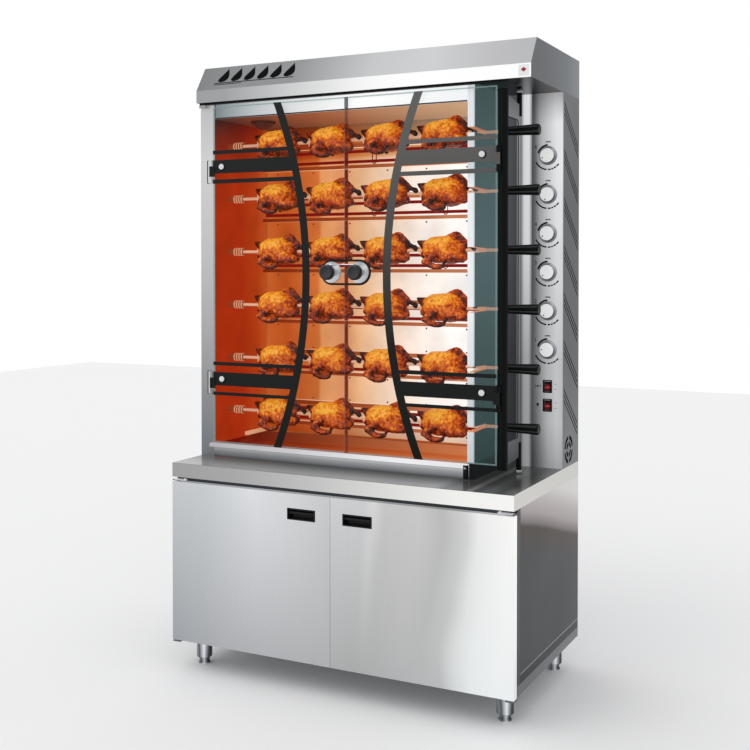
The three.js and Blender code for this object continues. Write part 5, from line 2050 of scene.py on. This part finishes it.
@dataclass
class SideFrame:
    """The swinging black frame round the spit handles."""

    centre_x: float = 0.5
    tube_radius: float = 0.016
    tube_inset: float = 0.178
    pivot_radius: float = 0.008
    pivot_inset: float = 0.325
    plate_half: float = 0.002
    corner_spread: float = 0.02
    window_insets: Span = (0.198, 0.308)
    window_heights: Span = (0.807, 1.801)

    def window_edge(self, growth: float, corner: float) -> list[Point]:
        """The window's outline, grown by some metres on every side.

        Args:
            growth: How far the outline lies outside the window's edge.
            corner: The radius of its corners.

        Returns:
            Depths and heights.
        """
        near, far = self.window_insets
        bottom, top = self.window_heights
        depth = (CAD_BOX[0].y + near - growth, CAD_BOX[0].y + far + growth)
        return rounded(depth, (bottom - growth, top + growth), corner)

    def build(self) -> None:
        """Makes the windowed plate, the grip tube, the pivots and their chrome nuts."""
        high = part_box("side_frame")[1]
        x = self.centre_x
        tube_y = CAD_BOX[0].y + self.tube_inset
        pivot_y = CAD_BOX[0].y + self.pivot_inset
        # Painted shade: the plate darkens at the bottom and the top, and takes a painted glow.
        grey_stops = (
            (0.0, "303133"), (0.1, "5a5c5e"), (0.5, "747678"), (0.88, "86888a"), (1.0, "4a4b4d")
        )
        grey = SmoothFinish(
            "frame_plate_grey", Palette(Tone(Axis.Z, (0.7, 1.9), grey_stops)), 0.45, glow=0.9, specular=0.1
        ).build()
        # Painted reflections: light and dark streaks along the black tube by where it faces.
        streak = Bands(
            (-0.9, -0.43, 0.0),
            (
                (0.0, "ffffff"), (0.5, "a0a0a0"), (0.86, "ffffff"), (0.93, "ffffff"), (0.97, "a0a0a0"),
                (1.0, "ffffff"),
            ),
        )
        black = smooth("frame_tube_black", "101213", 0.4, specular=0.08, bands=streak)
        chrome = smooth("frame_nut_chrome", "a4a6a8", 0.2, 1.0)
        front, rear = tube_y + 0.005, pivot_y + 0.004
        window = self.window_edge(0.0, 0.015)
        outline = self.plate_outline((front, rear), window)
        shape = Shape().plate(outline, Axis.X, (x - self.plate_half, x + self.plate_half), window)
        shape.piece("side_frame_plate", grey, "side_frame", "black_paint", replaces=["side_frame"])
        rim_inner = self.window_edge(-0.0025, 0.013)
        rim_outer = self.window_edge(0.0015, 0.016)
        rim = Shape().plate(rim_outer, Axis.X, (x + self.plate_half, x + 0.0038), rim_inner)
        rim.piece("side_frame_rim", black, "side_frame", "black_paint", 0.0004)
        r = self.tube_radius
        tube = [
            (0.0, 0.726), (r - 0.0015, 0.726), (r, 0.7275), (r, 1.8785), (r - 0.0015, 1.88), (0.0, 1.88)
        ]
        shape = Shape().turned(tube, Axis.Z, (x, tube_y, 0.0), 48)
        for bottom, top in ((0.6906, 0.79), (1.815, high.z)):
            pin = [(0.0, bottom), (self.pivot_radius, bottom), (self.pivot_radius, top), (0.0, top)]
            shape.turned(pin, Axis.Z, (x, pivot_y, 0.0), 32)
        self.add_knuckles(shape, tube_y)
        shape.piece("side_frame_tube", black, "side_frame", "black_paint")
        nuts = Shape()
        for bottom, top in ((0.6906, 0.7035), (1.888, 1.9012)):
            nut = [(0.0082, bottom), (0.0108, bottom), (0.0108, top), (0.0082, top), (0.0082, bottom)]
            nuts.turned(nut, Axis.Z, (x, pivot_y, 0.0), 6)
        nuts.piece("side_frame_nuts", chrome, "side_frame", "spit_steel", 0.0006)
        LOG.info("side frame: plate, tube, pivots and nuts")

    def plate_outline(self, depth: Span, window: Sequence[Point]) -> list:
        """The plate's outer edge, with one point for each point of its window.

        Args:
            depth: The plate's front and rear edges.
            window: The window's outline.

        Returns:
            The outline, in the window's order.
        """
        front, rear = depth
        corners = [(rear, 0.745), (rear, 1.849), (front, 1.873), (front, 0.732)]
        share = len(window) // 4
        outline = []
        for number, corner in enumerate(corners):
            previous, following = corners[number - 1], corners[(number + 1) % 4]
            for step in range(share):
                slide = (step / (share - 1) - 0.5) * self.corner_spread
                toward = previous if slide < 0 else following
                length = math.dist(corner, toward)
                pull = abs(slide) / length
                outline.append(
                    (
                        corner[0] + (toward[0] - corner[0]) * pull,
                        corner[1] + (toward[1] - corner[1]) * pull,
                    )
                )
        return outline

    def add_knuckles(self, shape: Shape, tube_y: float) -> None:
        """Adds the fixed hinge knuckles of the right glass door.

        Args:
            shape: The shape that takes them.
            tube_y: Where the frame's tube stands.
        """
        hinge_x, hinge_y = 0.495, CAD_BOX[0].y + 0.148
        for bottom, top in HINGE_ROWS:
            length = (top - bottom) * 0.27
            for z in ((bottom, bottom + length), (top - length, top)):
                round_part = [(0.0, z[0]), (0.006, z[0]), (0.006, z[1]), (0.0, z[1])]
                shape.turned(round_part, Axis.Z, (hinge_x, hinge_y, 0.0), 24)
                shape.box((hinge_x - 0.006, hinge_y, z[0]), (hinge_x + 0.006, tube_y - 0.012, z[1]))


# ---------------------------------------------------------------- spits and birds


@dataclass(frozen=True)
class Lump:
    """A tapered round lump between two points, in millimetres about the bird's middle."""

    start: tuple[float, float, float]
    end: tuple[float, float, float]
    radii: Span
    roast: float = 0.0


@dataclass
class Bird:
    """One roast bird: breast, back, two legs, two wings and a neck, melted into one skin."""

    lumps: tuple[Lump, ...] = (
        Lump((-36, 0, 3), (16, 0, 0), (44, 46), 0.08),
        Lump((-30, -16, 12), (10, -18, 14), (32, 34), 0.0),
        Lump((14, 0, 0), (38, 0, -4), (44, 36), 0.34),
        Lump((-58, 0, 10), (-84, -4, 24), (25, 13), 0.72),
        Lump((-84, -4, 24), (-98, -6, 30), (13, 5), 1.05),
        Lump((-60, -6, -4), (-76, -10, -14), (22, 12), 0.62),
        Lump((8, 6, 22), (28, 10, 44), (27, 18), 0.42),
        Lump((28, 10, 44), (36, 10, 46), (18, 17), 0.5),
        Lump((36, 10, 46), (80, 2, 17), (16, 9), 0.66),
        Lump((80, 2, 17), (100, -2, 7), (8, 9), 1.1),
        Lump((100, -2, 7), (103, -2, 2), (9, 6), 1.1),
        Lump((16, -30, -10), (44, -34, -20), (28, 22), 0.26),
        Lump((44, -34, -20), (72, -32, -25), (22, 15), 0.36),
        Lump((72, -32, -25), (84, -28, -20), (12, 7), 0.75),
        Lump((-34, -36, -14), (-60, -42, -36), (16, 11), 0.45),
        Lump((-60, -42, -36), (-22, -44, -52), (11, 10), 0.5),
        Lump((-22, -44, -52), (6, -40, -50), (10, 9), 0.55),
        Lump((6, -40, -50), (12, -38, -40), (8, 5), 0.9),
        Lump((-34, 36, -12), (-26, 42, -38), (14, 9), 0.6),
        Lump((44, 0, -6), (64, 0, -22), (26, 14), 0.6),
    )
    voxel: float = 0.0042
    seed: int = 7

    def raw(self) -> bpy.types.Object:
        """Overlapping balls along every lump, as one object."""
        shape = bmesh.new()
        for lump in self.lumps:
            start, end = Vector(lump.start) * MM, Vector(lump.end) * MM
            steps = 7
            for step in range(steps):
                share = step / (steps - 1)
                radius = (lump.radii[0] + (lump.radii[1] - lump.radii[0]) * share) * MM
                matrix = Matrix.Translation(start.lerp(end, share))
                bmesh.ops.create_uvsphere(
                    shape, u_segments=20, v_segments=12, radius=radius, matrix=matrix
                )
        mesh = bpy.data.meshes.new("bird_balls")
        shape.to_mesh(mesh)
        shape.free()
        holder = bpy.data.objects.new("bird_balls", mesh)
        bpy.context.scene.collection.objects.link(holder)
        return holder

    def roast_at(self, point: Vector) -> float:
        """How brown the skin is at a point, from the nearest lumps."""
        total, weight = 0.0, 0.0
        for lump in self.lumps:
            start, end = Vector(lump.start) * MM, Vector(lump.end) * MM
            run = end - start
            share = max(0.0, min(1.0, (point - start).dot(run) / run.length_squared))
            radius = (lump.radii[0] + (lump.radii[1] - lump.radii[0]) * share) * MM
            distance = abs((point - start.lerp(end, share)).length - radius)
            pull = 1.0 / (0.0016 + distance) ** 2
            total += pull * lump.roast
            weight += pull
        return total / weight

    def hollows(self, mesh: Mesh, normals: Sequence[Vector]) -> list[float]:
        """How deep every point lies in a fold.

        Args:
            mesh: The smooth skin.
            normals: Where each point faces.

        Returns:
            A number for each point, from 0 on ridges to 1 in the deepest folds.
        """
        pairs = [tuple(edge.vertices) for edge in mesh.edges]
        sums = [Vector() for _ in mesh.vertices]
        counts = [0] * len(mesh.vertices)
        for one, two in pairs:
            sums[one] += mesh.vertices[two].co
            sums[two] += mesh.vertices[one].co
            counts[one] += 1
            counts[two] += 1
        depths = []
        for vertex, normal, total, count in zip(mesh.vertices, normals, sums, counts):
            rise = (total / max(count, 1) - vertex.co).dot(normal)
            depths.append(max(0.0, rise / self.voxel * 6))
        for _ in range(3):
            spread = list(depths)
            for one, two in pairs:
                spread[one] = max(spread[one], depths[two] * 0.7)
                spread[two] = max(spread[two], depths[one] * 0.7)
            depths = spread
        return [min(1.0, depth) for depth in depths]

    def mesh(self, finish: Material) -> Mesh:
        """Melts the balls into one wrinkled skin.

        Args:
            finish: The skin's material.

        Returns:
            The bird's mesh about its middle, with a roast value on every point that holds the browning with
            painted shade and painted light.
        """
        holder = self.raw()
        remesh = holder.modifiers.new("melt", "REMESH")
        remesh.mode = "VOXEL"
        remesh.voxel_size = self.voxel
        smooth = holder.modifiers.new("soften", "SMOOTH")
        smooth.factor = 0.7
        smooth.iterations = 3
        graph = bpy.context.evaluated_depsgraph_get()
        mesh = bpy.data.meshes.new_from_object(holder.evaluated_get(graph), depsgraph=graph)
        bpy.data.objects.remove(holder)
        normals = [v.normal.copy() for v in mesh.vertices]
        hollows = self.hollows(mesh, normals)
        shift = Vector((self.seed * 3.1, self.seed * 1.7, self.seed * 0.9))
        values = []
        for vertex, normal, hollow in zip(mesh.vertices, normals, hollows):
            place = vertex.co
            broad = noise.noise(place * 38 + shift) * 0.0036
            wrinkle = (1 - abs(noise.noise(place * 95 + shift))) ** 4
            fine = noise.noise(place * 230 + shift) * 0.0009
            roast = self.roast_at(place) * 0.9 + 0.2
            # Painted shade underneath and in folds, and painted light on faces turned up, to the front and
            # to the left, go into the roast value.
            under = max(0.0, -normal.z) * 0.3
            lit = max(0.0, normal.z * 0.7 - normal.y * 0.4 - normal.x * 0.3) * 0.24
            values.append(min(1.2, max(0.0, roast + under - lit + hollow * 0.5 + wrinkle * 0.1)))
            vertex.co = place + normal * (broad - wrinkle * 0.0016 + fine)
        attribute = mesh.attributes.new("roast", "FLOAT", "POINT")
        attribute.data.foreach_set("value", values)
        mesh.polygons.foreach_set("use_smooth", [True] * len(mesh.polygons))
        mesh.materials.clear()
        mesh.materials.append(finish)
        return mesh


@dataclass
class Spits:
    """The six spits: driver collars, rods, forks, grips and birds."""

    first_bird: float = -0.333
    bird_pitch: float = 0.205
    birds: int = 4
    handle: Span = (0.49, 0.59)

    def __post_init__(self) -> None:
        """Reads where the spits lie."""
        low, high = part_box("spit_1")
        self.depth = (low.y + high.y) / 2

    def centre(self, row: int) -> Vector:
        """The middle of a spit's axis."""
        low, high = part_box(f"spit_driver_{row}")
        return Vector((0.0, self.depth, (low.z + high.z) / 2))

    def dress_rods(self) -> None:
        """Gives rods and drivers steel with the burners' warm light painted in as colour and glow."""
        rod = smooth("spit_bright_steel", "e8b898", 0.3, 0.3, glow=0.5)
        driver = smooth("driver_steel", "9c4420", 0.4, 0.2, glow=0.5)
        drive = smooth("drive_steel", "4c4e52", 0.45, 0.8)
        for row in ROWS:
            dress(f"spit_{row}", rod)
            dress(f"spit_driver_{row}", driver)
        for node in ("drive_chain", "motor_sprocket", "gear_motor"):
            dress(node, drive)

    def build_collars(self) -> None:
        """Makes four ribs round each driver's socket, bright and warm with the burners' light painted in.
        """
        bright = smooth("collar_steel", "f0b890", 0.3, 0.2, glow=0.55)
        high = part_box("spit_driver_1")[1]
        outer, inner, width = 0.0136, 0.0128, 0.0042
        end = high.x - 0.0003
        start = end - 0.0335
        for row in ROWS:
            shape = Shape()
            for rib in range(4):
                left = start + rib * (end - start - width) / 3
                profile = [
                    (inner, left), (outer, left + 0.0004), (outer, left + width - 0.0004),
                    (inner, left + width), (inner, left),
                ]
                shape.turned(profile, Axis.X, self.centre(row), 32)
            shape.piece(f"socket_ribs_{row}", bright, f"spit_{row}", "spit_steel")

    def build_grips(self) -> None:
        """Makes the tapered black grips with a rounded end and a thin ring."""
        # Painted highlights: light streaks along each grip by where it faces, with a painted glow.
        painted_streaks = Bands(
            (0.0, -0.45, 0.89),
            (
                (0.0, "404040"), (0.4, "505050"), (0.55, "ffffff"), (0.62, "404040"), (0.86, "505050"),
                (0.93, "ffffff"), (1.0, "505050"),
            ),
        )
        black = smooth("grip_black", "3c3d3e", 0.4, glow=0.3, specular=0.06, bands=painted_streaks)
        start, end = self.handle
        thin, thick = 0.0134, 0.0173
        profile = [(0.0, start), (thin, start + 0.0005)]
        steps = 6
        for step in range(steps + 1):
            share = step / steps
            profile.append((thin + (thick - thin) * share, start + 0.002 + (end - start - 0.008) * share))
        profile += [(thick, end - 0.004), (thick - 0.0016, end - 0.0012), (thick - 0.0045, end - 0.0002)]
        profile += [(thick - 0.007, end - 0.0012), (0.0, end - 0.0012)]
        for row in ROWS:
            shape = Shape().turned(profile, Axis.X, self.centre(row), 48)
            node = f"spit_handle_{row}"
            shape.piece(f"{node}_grip", black, f"spit_{row}", "black_plastic", replaces=[node])

    def build_birds(self) -> None:
        """Puts four roast birds on every spit."""
        skin = RoastedSkin("roasted_skin").build()
        bird = Bird().mesh(skin)
        for row in ROWS:
            centre = self.centre(row)
            chooser = random.Random(row)
            points = []
            for number in range(self.birds):
                x = self.first_bird + number * self.bird_pitch + chooser.uniform(-0.002, 0.002)
                points.append((x, centre.y, centre.z))
            mesh = AT_POINTS.place(
                f"birds_{row}", bird.copy(), points, 0.03, (0.07, 0.02, 0.02), seed=row
            )
            mesh.polygons.foreach_set("use_smooth", [True] * len(mesh.polygons))
            settle(f"birds_{row}", mesh, f"spit_{row}")

    def build(self) -> None:
        """Builds and dresses all the spits."""
        self.dress_rods()
        self.build_collars()
        self.build_grips()
        self.build_birds()
        LOG.info("spits: rods, collars, grips and birds")


# ---------------------------------------------------------------- studio


@dataclass
class Studio:
    """A pale floor, soft light and the camera."""

    floor_half: float = 9.0
    sun_energy: float = 0.25
    sun_degrees: float = 40
    camera_place: tuple[float, float, float] = (1.671, -3.357, 1.342)
    camera_turn: tuple[float, float, float] = (89.085, 0.0, 26.93)
    lens: float = 53.86
    shift: tuple[float, float] = (0.0108, -0.12)

    def build_floor(self) -> None:
        """Lays the floor."""
        half = self.floor_half
        mesh = bpy.data.meshes.new("floor")
        corners = [(-half, -half, 0), (half, -half, 0), (half, half, 0), (-half, half, 0)]
        mesh.from_pydata(corners, [], [(0, 1, 2, 3)])
        material, maker, shader = new_material("floor_paint", Roughness=0.9)
        fine = maker.clouds(maker.position(), 40.0)
        colour = maker.mix(fine, tint("fbfbfb"), tint("f8f8f8"))
        maker.tree.links.new(colour, shader.inputs["Base Color"])
        mesh.materials.append(material)
        floor = bpy.data.objects.new("floor", mesh)
        bpy.context.scene.collection.objects.link(floor)

    def build_world(self) -> None:
        """Makes the even white surroundings, a little darker behind and to the right."""
        world = bpy.data.worlds.new("studio")
        world.use_nodes = True
        bpy.context.scene.world = world
        maker = NodeMaker(world.node_tree)
        back = world.node_tree.nodes["Background"]
        direction = maker.add("ShaderNodeTexCoord").outputs["Generated"]
        across = maker.along(direction, Axis.X)
        depth = maker.along(direction, Axis.Y)
        side = maker.maths(
            "ADD", maker.maths("MULTIPLY", across, 0.5), maker.maths("MULTIPLY", depth, 0.5)
        )
        share = maker.maths("ADD", side, 0.5)
        sweep = maker.ramp(share, ((0.0, "ffffff"), (0.55, "f4f4f5"), (1.0, "d9dadc")))
        seen = maker.add("ShaderNodeLightPath").outputs["Is Camera Ray"]
        maker.tree.links.new(maker.mix(seen, sweep, tint("ffffff")), back.inputs["Color"])
        back.inputs["Strength"].default_value = 1.0

    def build_lights(self) -> None:
        """Hangs one wide, weak sun at the upper left."""
        sun = bpy.data.lights.new("key", "SUN")
        sun.energy = self.sun_energy
        sun.angle = math.radians(self.sun_degrees)
        holder = bpy.data.objects.new("key", sun)
        holder.rotation_euler = Vector((0.45, 0.75, -1.0)).to_track_quat("-Z", "Y").to_euler()
        bpy.context.scene.collection.objects.link(holder)

    def build_camera(self) -> None:
        """Sets up the camera."""
        camera = bpy.data.cameras.new("camera")
        camera.lens = self.lens
        camera.sensor_width = 36.0
        camera.shift_x, camera.shift_y = self.shift
        holder = bpy.data.objects.new("camera", camera)
        holder.location = self.camera_place
        holder.rotation_euler = [math.radians(turn) for turn in self.camera_turn]
        bpy.context.scene.collection.objects.link(holder)
        bpy.context.scene.camera = holder

    def build(self) -> None:
        """Builds the studio."""
        self.build_camera()
        self.build_floor()
        self.build_world()
        self.build_lights()
        bpy.context.scene.view_settings.view_transform = "Standard"
        LOG.info("studio: camera, floor and light")


def main() -> None:
    """Builds the studio and every sub-assembly, and reports each."""
    logging.basicConfig(level=logging.INFO, format="%(message)s")
    Studio().build()
    Cabinet().build()
    WorktopAndDrawer().build()
    OvenBody().build()
    Hood().build()
    ControlTower().build()
    GlassDoors().build()
    SideFrame().build()
    Spits().build()


if __name__ == "__main__":
    main()
